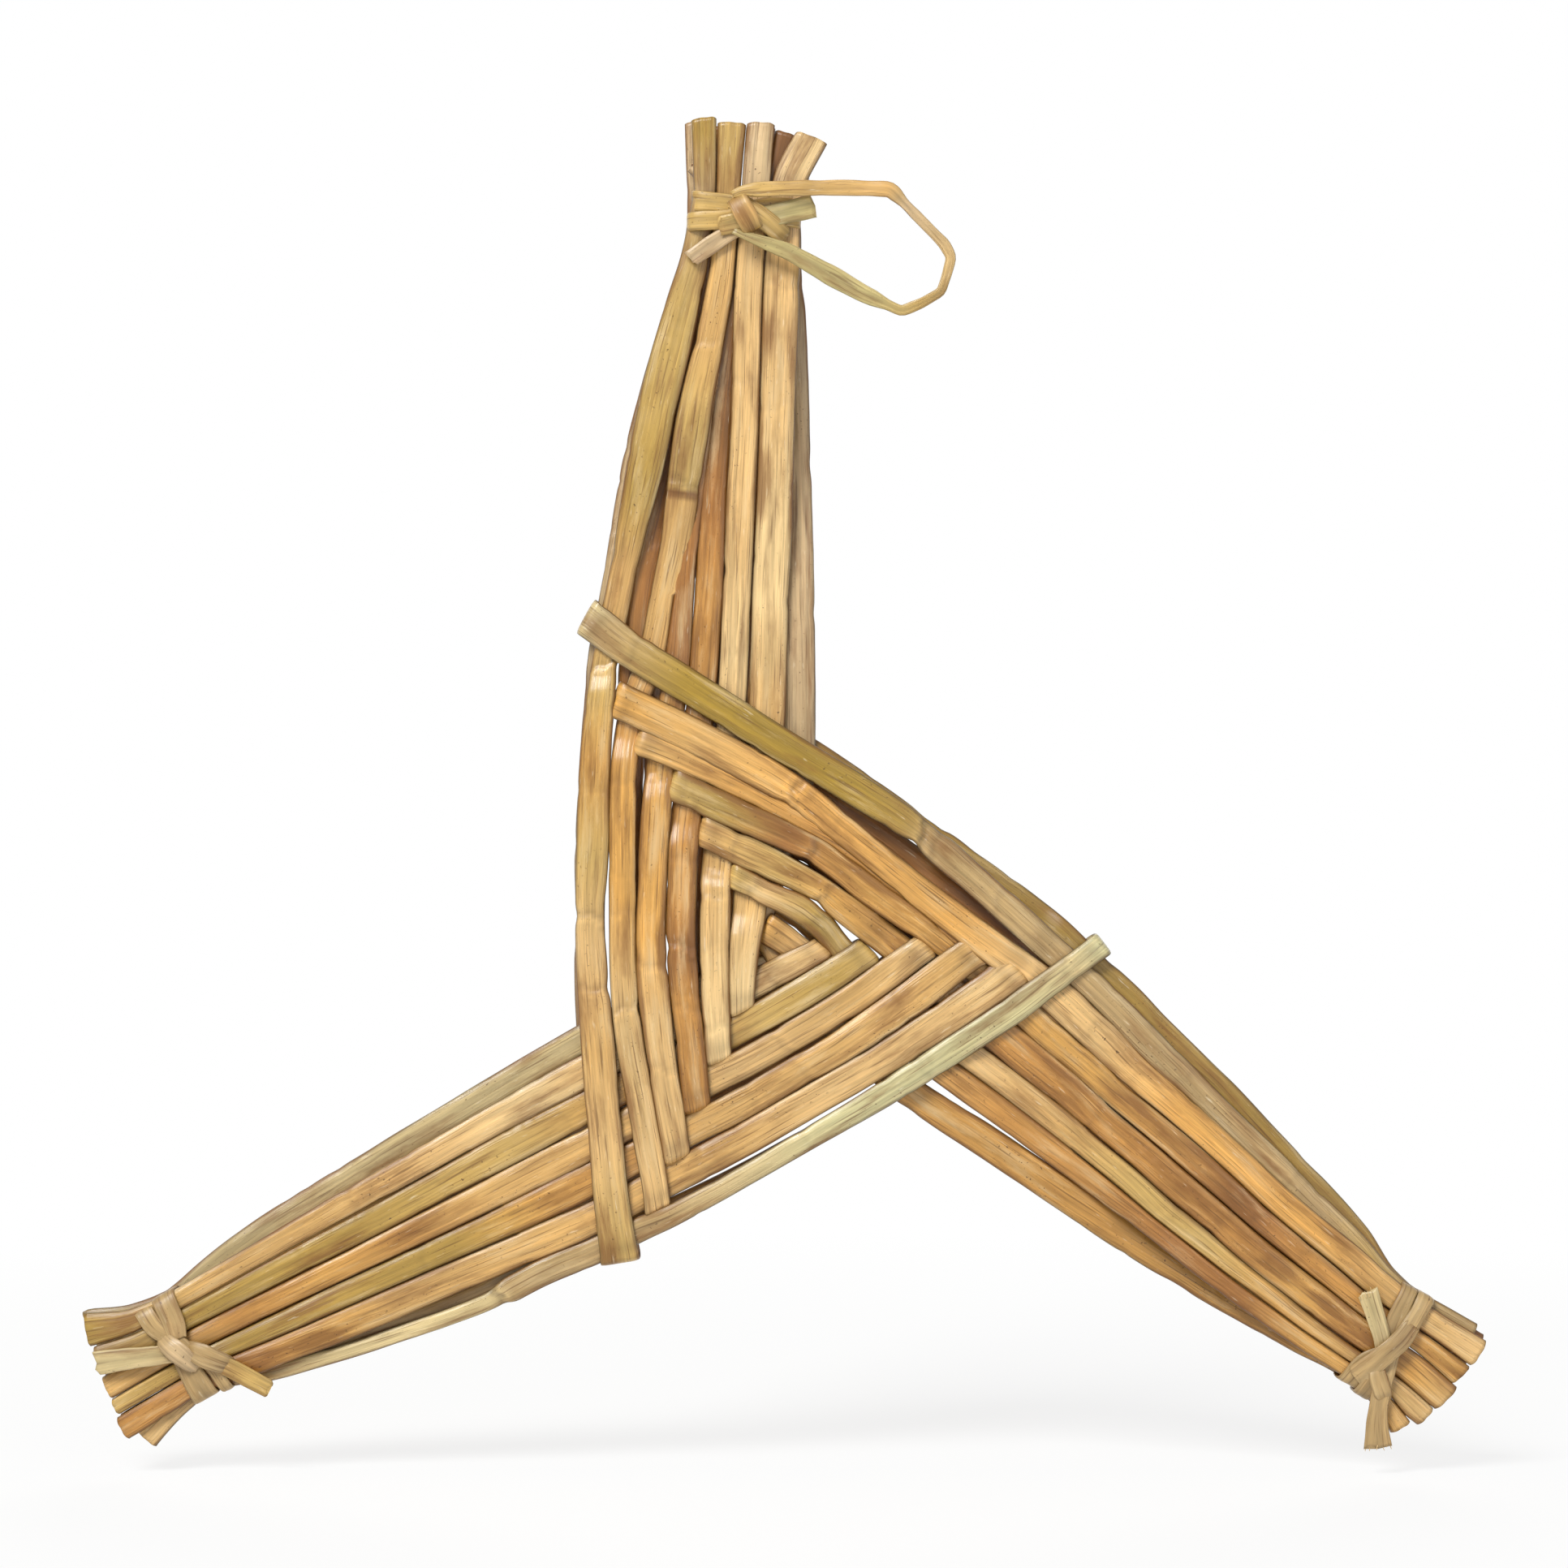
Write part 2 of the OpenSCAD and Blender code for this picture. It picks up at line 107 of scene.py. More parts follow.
# Each rush from the outermost in, as laid. slot: what its look is called. stain: how brown it is all over.
# back_tint: the colour of its back leg. sink: how deep it lies under others, in mm.
# lane: where its front leg lies, as (u, v) from its fold to its tip. wide: its widths by u.
# behind and wide_behind: the same for the back leg, where it differs from the front leg.
# crease: u of a kink, and how far it stands up in mm. tint: colour along the front leg, as (u, name).
# marks: brown stains as u, place across from -1 to 1, length, breadth and strength.
TOP_RUSHES = (
    dict(
        slot="olive_rush", stain=0.4, back_tint="oat",
        lane=((-65.5, 32.5), (-58, 33.6), (-40, 35.5), (-20, 37.2), (0, 38.7), (8, 39.1), (25, 38.5),
              (40, 38), (60, 36.3), (80, 32.6), (100, 28.4), (120, 24.2), (140, 19.3), (150, 16.6),
              (160, 15), (166, 14.2), (181, 14.4)),
        behind=((-65.5, 32.5), (0, 39.2), (60, 37.2), (80, 33.9), (100, 29.8), (112, 26.8), (140, 19.6),
                (160, 15.6), (178, 16)),
        wide=((-65, 7.8), (-40, 7.4), (-20, 7.2), (0, 6.6), (8, 6.2), (25, 6.9), (52, 6.3), (60, 5.8),
              (80, 5.6), (100, 7.2), (112, 8.2), (127, 8.2), (140, 7.2), (152, 5.7), (166, 4.9),
              (181, 5.4)),
        crease=((-8, 0.3), (8, 0.35), (62, 0.4)),
        tint=((-62, "olive"), (-40, "straw"), (-20, "sand"), (2, "straw"), (22, "olive"), (42, "honey"),
              (58, "olive"), (72, "sand"), (84, "sand"), (100, "moss"), (142, "olive"), (165, "sage"),
              (178, "moss")),
    ),
    dict(
        slot="tan_rush", stain=0.35, back_tint="brown",
        lane=((-54.3, 23.4), (-50, 24.2), (-40, 26.5), (-30, 28.2), (-20, 30.2), (-10, 31.5), (0, 32),
              (20, 32), (40, 31.6), (52, 30.2), (66, 25.6), (80, 22.6), (90, 20.5), (100, 19), (110, 17.6),
              (120, 16), (130, 13.9), (140, 11.9), (150, 10.3), (160, 9.6), (166, 9.2), (180, 8.3)),
        behind=((-54.3, 23.4), (-20, 29.4), (0, 30.8), (30, 30.4), (42, 29.6), (52, 29.8), (60, 30),
                (70, 28.9), (80, 27.8), (90, 25.8), (100, 23.6), (120, 18.8), (140, 13.2), (160, 9.8),
                (179, 9.5)),
        wide=((-54, 6.8), (-40, 6.1), (-20, 5.9), (-8, 5.8), (20, 5.7), (45, 5.7), (66, 6), (80, 6.1),
              (100, 7), (115, 7.3), (127, 6.7), (140, 5.7), (150, 5.4), (166, 5.4), (180, 6.5)),
        crease=((-12, 0.35), (101, 0.3)),
        tint=((-50, "straw"), (-8, "straw"), (12, "honey"), (34, "honey"), (52, "tan"), (72, "sand"),
              (98.6, "sand"), (99.6, "umber"), (100.2, "umber"), (101.2, "olive"), (116, "olive"),
              (134, "sand"), (160, "sand"), (174, "olive")),
    ),
    dict(
        slot="orange_rush", stain=0.5, back_tint="brown",
        lane=((-42, 19.8), (-35, 21.4), (-25, 23), (-15, 24.4), (-5, 25.5), (5, 25.9), (15, 25.5),
              (30, 24.8), (42, 23.8), (60, 20.6), (80, 19.2), (95, 17.6), (120, 14.2), (140, 10.8),
              (150, 9.2), (160, 9.4), (166, 11.6), (171.5, 15.8)),
        behind=((-42, 19.8), (-20, 24), (0, 26.4), (30, 25.6), (57, 24.8), (70, 21.8), (90, 17.5),
                (120, 13.5), (160, 11), (170, 14.6)),
        wide=((-42, 7), (-25, 6.1), (-5, 6.8), (5, 6.6), (15, 6.2), (24, 6.4), (42, 6.1), (80, 5.2),
              (120, 5), (160, 5), (172, 5.4)),
        crease=((-3, 0.3), (38, 0.25), (-25, 0.2)),
        marks=((3, -0.7, 5, 0.5, 1.6), (20, 0.6, 12, 0.4, 0.8), (35, -0.6, 6, 0.5, 0.8)),
        tint=((-38, "straw"), (-14, "straw"), (4, "honey"), (26, "amber"), (46, "honey"), (64, "brown"),
              (110, "brown"), (158, "sand"), (166, "oat"), (172, "oat")),
    ),
    dict(
        slot="brown_rush", stain=0.8, back_tint="brown",
        lane=((-32, 15.4), (-25, 16.6), (-15, 17.7), (-5, 18.8), (5, 19.6), (15, 19.3), (25, 18.9),
              (31, 18.2), (60, 14.6), (80, 13.4), (100, 12.3), (120, 10.6), (140, 7.5), (160, 1),
              (178, -3.3)),
        wide=((-32, 6.5), (-15, 6.1), (5, 6.5), (15, 6.3), (25, 6.5), (60, 6), (100, 5.8), (140, 5),
              (160, 5), (178, 5)),
        crease=((1.5, 0.5), (-12, 0.2), (20, 0.2)),
        marks=((2, -0.5, 3, 0.6, 1.6), (-28, 0.2, 5, 0.8, 0.9), (24, -0.5, 8, 0.5, 0.8)),
        tint=((-28, "tan"), (-8, "tan"), (0, "brown"), (14, "tan"), (50, "tan"), (78, "tan"), (96, "brown"),
              (114, "umber"), (178, "umber")),
    ),
    dict(
        slot="pale_rush", stain=0.25, back_tint="tan",
        lane=((-21.5, 11), (-15, 11.6), (-5, 12), (5, 12.1), (15, 12), (22, 11.4), (40, 9.6), (60, 8.2),
              (80, 7.3), (100, 6.3), (120, 5.4), (140, 5), (150, 4.6), (160, 3.8), (166, 3.3), (180, 2.3)),
        wide=((-21, 5.6), (-10, 6.1), (5, 6.5), (20, 6.6), (60, 6.1), (80, 6), (100, 6.2), (120, 6.1),
              (140, 6.1), (150, 6.1), (160, 6), (180, 6.2)),
        crease=((12, 0.2), (-16, 0.2)),
        tint=((-16, "bone"), (6, "straw"), (25, "sand"), (45, "sand"), (65, "bone"), (88, "straw"),
              (130, "straw"), (158, "straw"), (166, "oat"), (178, "oat")),
    ),
    dict(
        slot="pale_rush", stain=0.4, back_tint="oat",
        lane=((-11.5, 6.3), (-5, 6.2), (0, 5.9), (10, 4.8), (30, 2.6), (56, 0.8), (80, 0), (100, -0.8),
              (120, -1.4), (140, -2.1), (150, -2.4), (160, -2.9), (166, -3.6), (177, -8.7)),
        behind=((-11.5, 6.3), (0, 5), (20, 0), (42, -5.6), (60, -5.7), (80, -5.3), (100, -4.9), (120, -4.3),
                (140, -3.5), (150, -2.7), (160, -3.2), (176, -6)),
        wide=((-11, 5), (0, 6.3), (10, 7.4), (56, 7.8), (80, 7.9), (120, 7.7), (140, 7.8), (150, 7.4),
              (160, 6.9), (177, 7.4)),
        marks=((105, 0.5, 7, 0.25, 1.2), (136, 0.4, 5, 0.5, 1.3), (146, 0.2, 4, 0.5, 1.4)),
        tint=((-6, "bone"), (15, "sand"), (40, "honey"), (60, "straw"), (76, "bone"), (98, "bone"),
              (118, "straw"), (154, "straw"), (166, "oat"), (170, "bone")),
    ),
)
RIGHT_RUSHES = (
    dict(
        slot="green_rush", stain=0.2, back_tint="moss",
        lane=((-71.3, 43.8), (-60, 42.4), (-40, 41.7), (-20, 40.8), (0, 40.4), (10, 39.9), (17, 38.9),
              (30, 36.4), (40, 34.4), (50, 32.2), (62, 29.6), (70, 27.6), (80, 24.8), (90, 22.2),
              (100, 19.6), (110, 17.1), (120, 14.6), (130, 12), (140, 9.4), (150, 6), (156, 5.2), (160, 5),
              (172, 5)),
        behind=((-71.3, 43.8), (-15, 42), (10, 40.2), (30, 38.5), (40, 37.3), (50, 36), (60, 33.6),
                (70, 31.3), (80, 28.2), (90, 25.8), (100, 23.4), (110, 20.4), (120, 17.4), (130, 14.6),
                (140, 11.3), (150, 6.4), (156, 5.2), (172, 4.4)),
        wide=((-71, 7.8), (-60, 7.6), (-40, 7.3), (-20, 7), (0, 6.8), (9, 6.5), (14, 5.5), (20, 6.4),
              (30, 6), (40, 6.3), (62, 6), (80, 6.3), (100, 5.8), (130, 5.4), (150, 5), (172, 5.4)),
        crease=((13.7, 0.6), (17, 0.3), (-60, 0.2)),
        tint=((-70, "reed"), (-66, "sage"), (-46, "fern"), (-5, "fern"), (10, "moss"), (17, "sage"),
              (130, "sage"), (145, "olive"), (171, "sage")),
    ),
    dict(
        slot="orange_rush", stain=0.3, back_tint="brown",
        lane=((-57.2, 31.5), (-50, 32.2), (-40, 33), (-30, 33.4), (-20, 33.6), (-10, 33.1), (0, 31.5),
              (10, 30), (20, 28.4), (30, 27), (40, 25.7), (50, 24.6), (60, 23), (70, 20.7), (80, 17.9),
              (90, 16.1), (100, 14.2), (110, 12), (120, 9.5), (130, 7.7), (140, 6.2), (150, 4.3),
              (156, 3.5), (162, 2.9), (175, 2.2)),
        behind=((-57.2, 31.5), (-20, 35), (0, 35), (20, 33), (40, 30.5), (60, 27), (80, 21.5), (100, 17.5),
                (120, 12.8), (140, 8.5), (156, 4.4), (174, 3)),
        wide=((-57, 7.3), (-40, 7.7), (-20, 7.1), (0, 6.2), (10, 6), (30, 7), (50, 7.5), (65, 8), (80, 7.3),
              (90, 6.6), (120, 6.3), (140, 6.4), (150, 6.2), (156, 5.8), (175, 6.5)),
        crease=((-15, 0.45), (-12, 0.3)),
        tint=((-54, "honey"), (-36, "sand"), (-11, "amber"), (30, "amber"), (50, "straw"), (70, "straw"),
              (92, "amber"), (132, "amber"), (150, "sand"), (174, "straw")),
    ),
    dict(
        slot="tan_rush", stain=0.4, back_tint="brown", sink=1.0,
        lane=((-48.5, 26), (-40, 27), (-30, 28), (-20, 28.6), (0, 28.8), (20, 26.5), (40, 23), (60, 18.5),
              (80, 14.8), (100, 11), (130, 5), (156, 1), (170, 0)),
        wide=((-48, 5.2), (-30, 4.7), (0, 4.2), (60, 4), (130, 4), (170, 5)),
        tint=((-44, "sand"), (-24, "amber"), (-2, "tan"), (40, "tan"), (76, "brown"), (120, "brown"),
              (140, "tan"), (168, "sand")),
    ),
    dict(
        slot="brown_rush", stain=0.6, back_tint="brown",
        lane=((-36.4, 21.3), (-30, 22.1), (-20, 23.2), (-10, 24.3), (-3, 24.8), (5, 24.1), (10, 23.2),
              (20, 22.2), (30, 21.2), (50, 17.8), (60, 15.7), (70, 13.8), (80, 11.5), (90, 9.8), (100, 7.9),
              (110, 5.8), (120, 3.7), (130, 1.9), (140, 0.3), (150, -1.2), (156, -1.5), (162, -1.7),
              (174, -3.4)),
        wide=((-36, 7.4), (-20, 6.5), (-3, 5.7), (10, 6), (30, 5.2), (50, 6), (80, 6.1), (100, 6.4),
              (120, 5.9), (140, 5.3), (156, 4.9), (174, 5.6)),
        crease=((-5, 0.45), (-33, 0.2)),
        marks=((-14, 0.7, 9, 0.5, 1.4), (8, 0.6, 9, 0.5, 1.2), (84, 0.6, 3, 0.4, 1.2),
               (116, 0, 7, 0.8, 1.8)),
        tint=((-34, "olive"), (-26, "moss"), (-10, "brown"), (8, "honey"), (30, "honey"), (74, "honey"),
              (92, "tan"), (112, "brown"), (120, "brown"), (132, "tan"), (174, "honey")),
    ),
    dict(
        slot="tan_rush", stain=0.6, back_tint="tan",
        lane=((-26, 15.7), (-20, 16.5), (-10, 17.6), (0, 18.1), (8, 17.2), (15, 16.4), (22, 15.4),
              (40, 12.2), (60, 8.7), (70, 7.3), (80, 5.1), (90, 3.5), (100, 1.6), (110, -0.1), (120, -2.1),
              (130, -3.6), (140, -4.9), (150, -6.2), (156, -6.8), (162, -7.2), (173.8, -9.6)),
        behind=((-26, 15.7), (0, 18.4), (8, 18.3), (15, 17.6), (22, 15.8), (40, 10.4), (60, 6.1), (80, 2.7),
                (100, -0.5), (120, -3.7), (140, -6), (156, -7), (173.8, -9.6)),
        wide=((-26, 7.3), (-10, 6.6), (0, 5.8), (10, 6.3), (20, 6.7), (60, 7.8), (80, 7.4), (120, 7.3),
              (150, 7.2), (162, 7.1), (174, 7.5)),
        crease=((2, 0.5), (-20, 0.25)),
        marks=((-5, 0.1, 4, 0.25, 1.8), (64, 0.4, 9, 0.5, 1.2), (128, 0, 6, 0.7, 1.4),
               (142, 0.1, 8, 0.8, 1.8), (156, -0.3, 6, 0.6, 1.2)),
        tint=((-24, "sand"), (-8, "olive"), (4, "honey"), (22, "honey"), (45, "tan"), (122, "tan"),
              (134, "honey"), (152, "tan"), (164, "honey"), (173, "sand")),
    ),
    dict(
        slot="olive_rush", stain=0.35, back_tint="olive",
        lane=((-16.2, 11.3), (-10, 11.4), (0, 12.3), (5, 11.7), (10, 9.9), (15, 8), (30, 5.2), (50, 2.9),
              (60, 1.8), (70, 0.5), (80, -1.3), (90, -3.2), (100, -5.6), (110, -7), (120, -8.6),
              (130, -9.8), (140, -11.2), (150, -12), (156, -12.4), (171.8, -15.6)),
        wide=((-16, 5), (-5, 5.2), (0, 5.8), (5, 5.8), (10, 5.4), (16, 6.1), (30, 6.2), (60, 6.1),
              (80, 6.3), (100, 7.3), (120, 6), (140, 5), (156, 4.8), (172, 6.3)),
        crease=((-12, 0.3), (3, 0.25)),
        tint=((-14, "olive"), (-8, "straw"), (4, "moss"), (16, "olive"), (34, "sand"), (52, "straw"),
              (72, "sand"), (92, "olive"), (112, "olive"), (132, "honey"), (150, "sand"), (171, "straw")),
    ),
    dict(
        slot="tan_rush", stain=0.3, back_tint="honey",
        lane=((-4.5, 5), (0, 4.8), (20, 1), (35, -1.4), (50, -3), (60, -4), (70, -5.2), (80, -6.2),
              (90, -7.4), (100, -8.6), (120, -11.5), (140, -13.4), (156, -14.5), (168.5, -19.5)),
        behind=((-4.5, 5), (0, 2), (20, -6), (40, -10.2), (60, -11.3), (80, -12.7), (100, -13.9),
                (120, -14.6), (140, -14.9), (150, -14.4), (156, -14.8), (168, -18.5)),
        wide=((-4, 6.3), (20, 6), (50, 6), (70, 5.8), (100, 5.6), (140, 5), (156, 4.6), (168, 5)),
        wide_behind=((-4, 6.3), (30, 6.2), (60, 7), (100, 7), (120, 6.2), (150, 4.8), (168, 5)),
        tint=((-4, "honey"), (6, "straw"), (24, "sand"), (60, "tan"), (84, "tan"), (104, "brown"),
              (124, "brown"), (142, "honey"), (168, "sand")),
    ),
)
LEFT_RUSHES = (
    dict(
        slot="pale_green_rush", stain=0.2, back_tint="sage",
        lane=((-63.4, 32.3), (-50, 34.5), (-40, 35.8), (-30, 36.5), (-20, 37.1), (-10, 37.5), (0, 37.8),
              (30, 37.9), (45, 37.6), (55, 36.6), (65, 35.7), (80, 34), (88, 33.9), (100, 32.3),
              (110, 30.3), (120, 28.3), (130, 25.9), (138, 23.8), (146, 20.5), (152, 19), (158, 19.5),
              (169, 22)),
        behind=((-63.4, 32.3), (0, 38.3), (65, 35), (80, 32.4), (95, 30.6), (110, 28), (130, 24),
                (152, 18.6), (168, 20.5)),
        wide=((-63, 6.6), (-50, 6.1), (-30, 5.9), (-10, 5.5), (0, 5.1), (10, 4.7), (30, 4.4), (45, 4.6),
              (60, 5.7), (84, 5.6), (90, 3.6), (110, 3.4), (130, 3.2), (152, 4), (169, 6)),
        crease=((86, 0.55), (-55, 0.2)),
        tint=((-62, "sedge"), (-56, "reed"), (-40, "sedge"), (6, "sedge"), (26, "reed"), (46, "sage"),
              (66, "sage"), (84, "sage"), (90, "reed"), (122, "reed"), (144, "sage"), (168, "straw")),
    ),
    dict(
        slot="tan_rush", stain=0.4, back_tint="tan",
        lane=((-42.5, 28.6), (-40, 29), (-30, 29.8), (-20, 30.5), (-10, 31), (0, 31.1), (20, 31.1),
              (35, 30.8), (50, 30.2), (62, 29.6), (70, 28.6), (80, 27.2), (90, 25.9), (100, 24.5),
              (110, 23.3), (120, 22), (130, 20.6), (140, 19.1), (147, 17.9), (152, 17.2), (158, 17.3),
              (172, 17.6)),
        wide=((-42, 7.5), (-20, 7.1), (35, 6.9), (62, 7), (80, 6.9), (110, 7.2), (130, 6.9), (147, 6.4),
              (154, 5.6), (172, 6.1)),
        marks=((126, 0.2, 9, 0.6, 1.3), (143, 0, 7, 0.9, 1.6), (160, 0.3, 6, 0.6, 1.2)),
        tint=((-40, "straw"), (6, "straw"), (26, "sand"), (66, "sand"), (106, "sand"), (124, "honey"),
              (146, "brown"), (158, "tan"), (172, "tan")),
    ),
    dict(
        slot="tan_rush", stain=0.35, back_tint="tan",
        lane=((-37.3, 20.6), (-30, 21.6), (-20, 22.8), (-10, 23.6), (0, 24.2), (20, 24.1), (33, 23.6),
              (50, 22.6), (60, 22), (70, 21.3), (80, 20.5), (90, 19.6), (100, 18.6), (110, 17.6),
              (120, 16.6), (130, 15.7), (140, 14.8), (147, 14.2), (152, 13.4), (158, 13.2), (171, 13.2)),
        wide=((-37, 7.1), (-25, 7.6), (-10, 7.3), (0, 6.7), (33, 6.7), (60, 7.3), (80, 6.9), (100, 6.4),
              (130, 5.8), (152, 4.7), (171, 5)),
        crease=((-20, 0.15), (5, 0.15)),
        tint=((-34, "sand"), (30, "sand"), (52, "tan"), (70, "honey"), (90, "moss"), (130, "moss"),
              (150, "moss"), (170, "olive")),
    ),
    dict(
        slot="orange_rush", stain=0.35, back_tint="tan",
        lane=((-29, 14.2), (-20, 15.6), (-10, 16.6), (0, 17), (15, 16.9), (25, 16.5), (40, 15.8),
              (60, 14.9), (80, 13.9), (100, 12.6), (120, 11.1), (140, 9.7), (150, 9.1), (158, 9),
              (170.5, 9)),
        wide=((-29, 6.3), (-10, 6.5), (15, 6.4), (40, 6.8), (60, 7), (80, 6.8), (100, 6.2), (120, 5.6),
              (140, 5.1), (156, 5), (170, 6)),
        crease=((6, 0.2),),
        tint=((-26, "straw"), (-12, "sand"), (18, "straw"), (38, "sand"), (58, "sand"), (78, "sand"),
              (98, "tan"), (118, "honey"), (138, "tan"), (170, "sand")),
    ),
    dict(
        slot="olive_rush", stain=0.35, back_tint="olive",
        lane=((-19.2, 9), (-10, 9.7), (0, 10), (10, 10), (30, 9), (50, 8.1), (70, 7.3), (90, 6.7),
              (110, 5.9), (130, 5), (148, 4.4), (158, 4), (169, 2.7)),
        wide=((-19, 6.3), (-5, 6.9), (10, 6.5), (50, 6.8), (70, 7.2), (90, 6.6), (110, 6.4), (130, 5.8),
              (150, 4.9), (158, 5), (169, 6.4)),
        tint=((-18, "olive"), (-8, "moss"), (8, "olive"), (30, "tan"), (68, "olive"), (108, "moss"),
              (148, "moss"), (169, "sage")),
    ),
    dict(
        slot="pale_rush", stain=0.45, back_tint="reed",
        lane=((-9.2, 3.8), (0, 3.3), (10, 3), (30, 2), (50, 1.2), (70, 0.6), (90, 0.5), (110, 0.2),
              (130, 0), (147, -0.2), (152, -0.4), (158, -1), (168, -4.2)),
        behind=((-9.2, 3.8), (0, 2), (20, -2), (40, -4.9), (60, -4.9), (80, -4.5), (100, -4.1), (120, -3.5),
                (130, -2.9), (140, -1.9), (150, -0.6), (158, -1.5), (167, -4.8)),
        wide=((-9, 5), (0, 6), (30, 6.6), (50, 7), (70, 6.3), (90, 6.1), (110, 5.5), (130, 4.8), (150, 4.4),
              (157, 4.8), (168, 7.3)),
        wide_behind=((-9, 5), (0, 6), (30, 6.4), (130, 6.2), (150, 4.6), (168, 6)),
        tint=((-8, "straw"), (2, "bone"), (20, "sand"), (40, "sand"), (58, "bone"), (80, "straw"),
              (112, "sand"), (140, "sand"), (158, "olive"), (168, "moss")),
    ),
)
RUSHES = (TOP_RUSHES, RIGHT_RUSHES, LEFT_RUSHES)
# The rushes of each arm that lie in the outer layer at its tie
OUTER_LAYER = ((1, 2, 5, 6), (2, 4, 5, 6, 7), (2, 3, 4, 5, 6))


def linear(hex_colour):
    """sRGB hex to linear red, green and blue."""
    c = np.array([int(hex_colour[k:k + 2], 16) for k in (1, 3, 5)]) / 255.0
    return tuple(np.where(c <= 0.04045, c / 12.92, ((c + 0.055) / 1.055) ** 2.4))


def smooth_through(x, xs, ys):
    """Monotone cubic through the points xs, ys: Hermite pieces whose slopes are weighted harmonic means."""
    xs, ys = np.asarray(xs, float), np.asarray(ys, float)
    h = np.diff(xs)
    d = np.diff(ys) / h
    m = np.concatenate(([d[0]], np.zeros(len(d) - 1), [d[-1]]))
    w1, w2 = 2 * h[1:] + h[:-1], h[1:] + 2 * h[:-1]
    same = d[1:] * d[:-1] > 0
    safe = np.where(same, d[:-1], 1.0), np.where(same, d[1:], 1.0)
    m[1:-1] = np.where(same, (w1 + w2) / (w1 / safe[0] + w2 / safe[1]), 0.0)
    k = np.clip(np.searchsorted(xs, x, side="right") - 1, 0, len(h) - 1)
    t = np.clip((x - xs[k]) / h[k], 0, 1)
    return ((2 * t**3 - 3 * t**2 + 1) * ys[k] + (t**3 - 2 * t**2 + t) * h[k] * m[k]
            + (3 * t**2 - 2 * t**3) * ys[k + 1] + (t**3 - t**2) * h[k] * m[k + 1])


# Drawn phases of sines; how far drawn wavelengths may be off, the weight of the shortest, and the sum's gain
PHASES = (0, 6)
WAVE_OFF = (0.8, 1.25)
LEAST_WEIGHT = 0.35
WAVE_GAIN = 1.6


def wander(s, rng, size, longest, shortest, count=5):
    """Smooth wander along s, about -size to size: a sum of sines with drawn wavelengths in mm and phases."""
    waves = np.geomspace(longest, shortest, count) * rng.uniform(*WAVE_OFF, count)
    phase = rng.uniform(0, 2 * math.pi, count)
    weight = np.geomspace(1, LEAST_WEIGHT, count)
    total = (np.sin(2 * math.pi * s[:, None] / waves + phase) * weight).sum(1)
    return size * (total / weight.sum() * WAVE_GAIN)


def bell(a, broad):
    """Bell curve exp(-(a / broad)^2): 1 where a is 0, and about a third where it is broad."""
    return np.exp(-(a / broad) ** 2)


def signed_power(a, power):
    """a to a power, with the sign of a."""
    return np.sign(a) * np.abs(a) ** power


def rows_unit(a):
    """Each row at length one."""
    return a / np.linalg.norm(a, axis=-1, keepdims=True)


def run_along(path):
    """Distance of each point of a line from its start, along it."""
    return np.concatenate(([0], np.cumsum(np.linalg.norm(np.diff(path, axis=0), axis=1))))


def directions(path):
    """The way that a line runs at each of its points, at length one."""
    return rows_unit(np.gradient(path, axis=0))


def tube_uv(s, t, perimeter):
    """UV of a tube in mm: s along it, and around it from 0 to its perimeter, with the seam's second edge."""
    around = np.concatenate((t, [2 * math.pi])) / (2 * math.pi)
    return np.stack(np.broadcast_arrays(s[:, None], (around * perimeter)[None, :]), -1)


def to_world(arm, p):
    """Points (u, v, w) of an arm's own frame, in mm, as points of the cross, in metres."""
    a = math.radians(ARM_ANGLE[arm])
    c, s = math.cos(a), math.sin(a)
    u, v, w = p[..., 0], p[..., 1], p[..., 2]
    return np.stack((u * c - v * s, -(WALL + w), u * s + v * c), -1) * MM


class Lane:
    """Where one rush lies across its arm: v and width as functions of u, on its front and its back."""

    def __init__(self, arm, number):
        data = RUSHES[arm][number - 1]
        self.arm, self.number, self.data = arm, number, data
        self.front = np.array(data["lane"], float).T
        self.tip = data["lane"][-1][0]
        away = np.interp(self.front[0], *BACK_DRIFT)
        self.behind = np.array(data["behind"], float).T if "behind" in data else self.front - [0 * away, away]
        self.wide = np.array(data["wide"], float).T
        self.wide_behind = np.array(data.get("wide_behind", data["wide"]), float).T

    def across(self, u, side=1):
        """v at u on the front (1) or back (-1) leg."""
        return smooth_through(np.asarray(u, float), *(self.front if side > 0 else self.behind))

    def width(self, u, side=1):
        """Width at u on the front (1) or back (-1) leg."""
        return smooth_through(np.asarray(u, float), *(self.wide if side > 0 else self.wide_behind))


LANES = [[Lane(f, i + 1) for i in range(len(RUSHES[f]))] for f in range(3)]

# How far a rush may press into its neighbour in the weave, and how far it stays off it along the arm
WEAVE_PRESS = 0.05
ARM_GAP = 0.1
# free on a side with no neighbour: more than any rush is wide
NO_NEIGHBOUR = 99.0


def free_half(lane, u, way, side):
    """Half width that a rush has free at u towards its neighbour in the layer, way 1 outwards or -1 inwards.

    Two neighbours share the space between their middles in proportion to their widths: they touch in the
    weave, and part by a hair along the arm. The outermost rush has number 1.
    """
    woven = [other.number for other in LANES[lane.arm] if "sink" not in other.data]
    free = np.full((2, len(u)), NO_NEIGHBOUR)
    for k, layer in enumerate((woven, OUTER_LAYER[lane.arm])):
        beyond = [n for n in layer if (lane.number - n) * way > 0]
        if lane.number in layer and beyond:
            nearest = max(beyond) if way > 0 else min(beyond)
            other = LANES[lane.arm][nearest - 1]
            share = lane.width(u, side) / (lane.width(u, side) + other.width(u, side))
            free[k] = np.abs(other.across(u, side) - lane.across(u, side)) * share
    return np.where(u < ARM_START[lane.arm], free[0] + WEAVE_PRESS, free[1] - ARM_GAP)


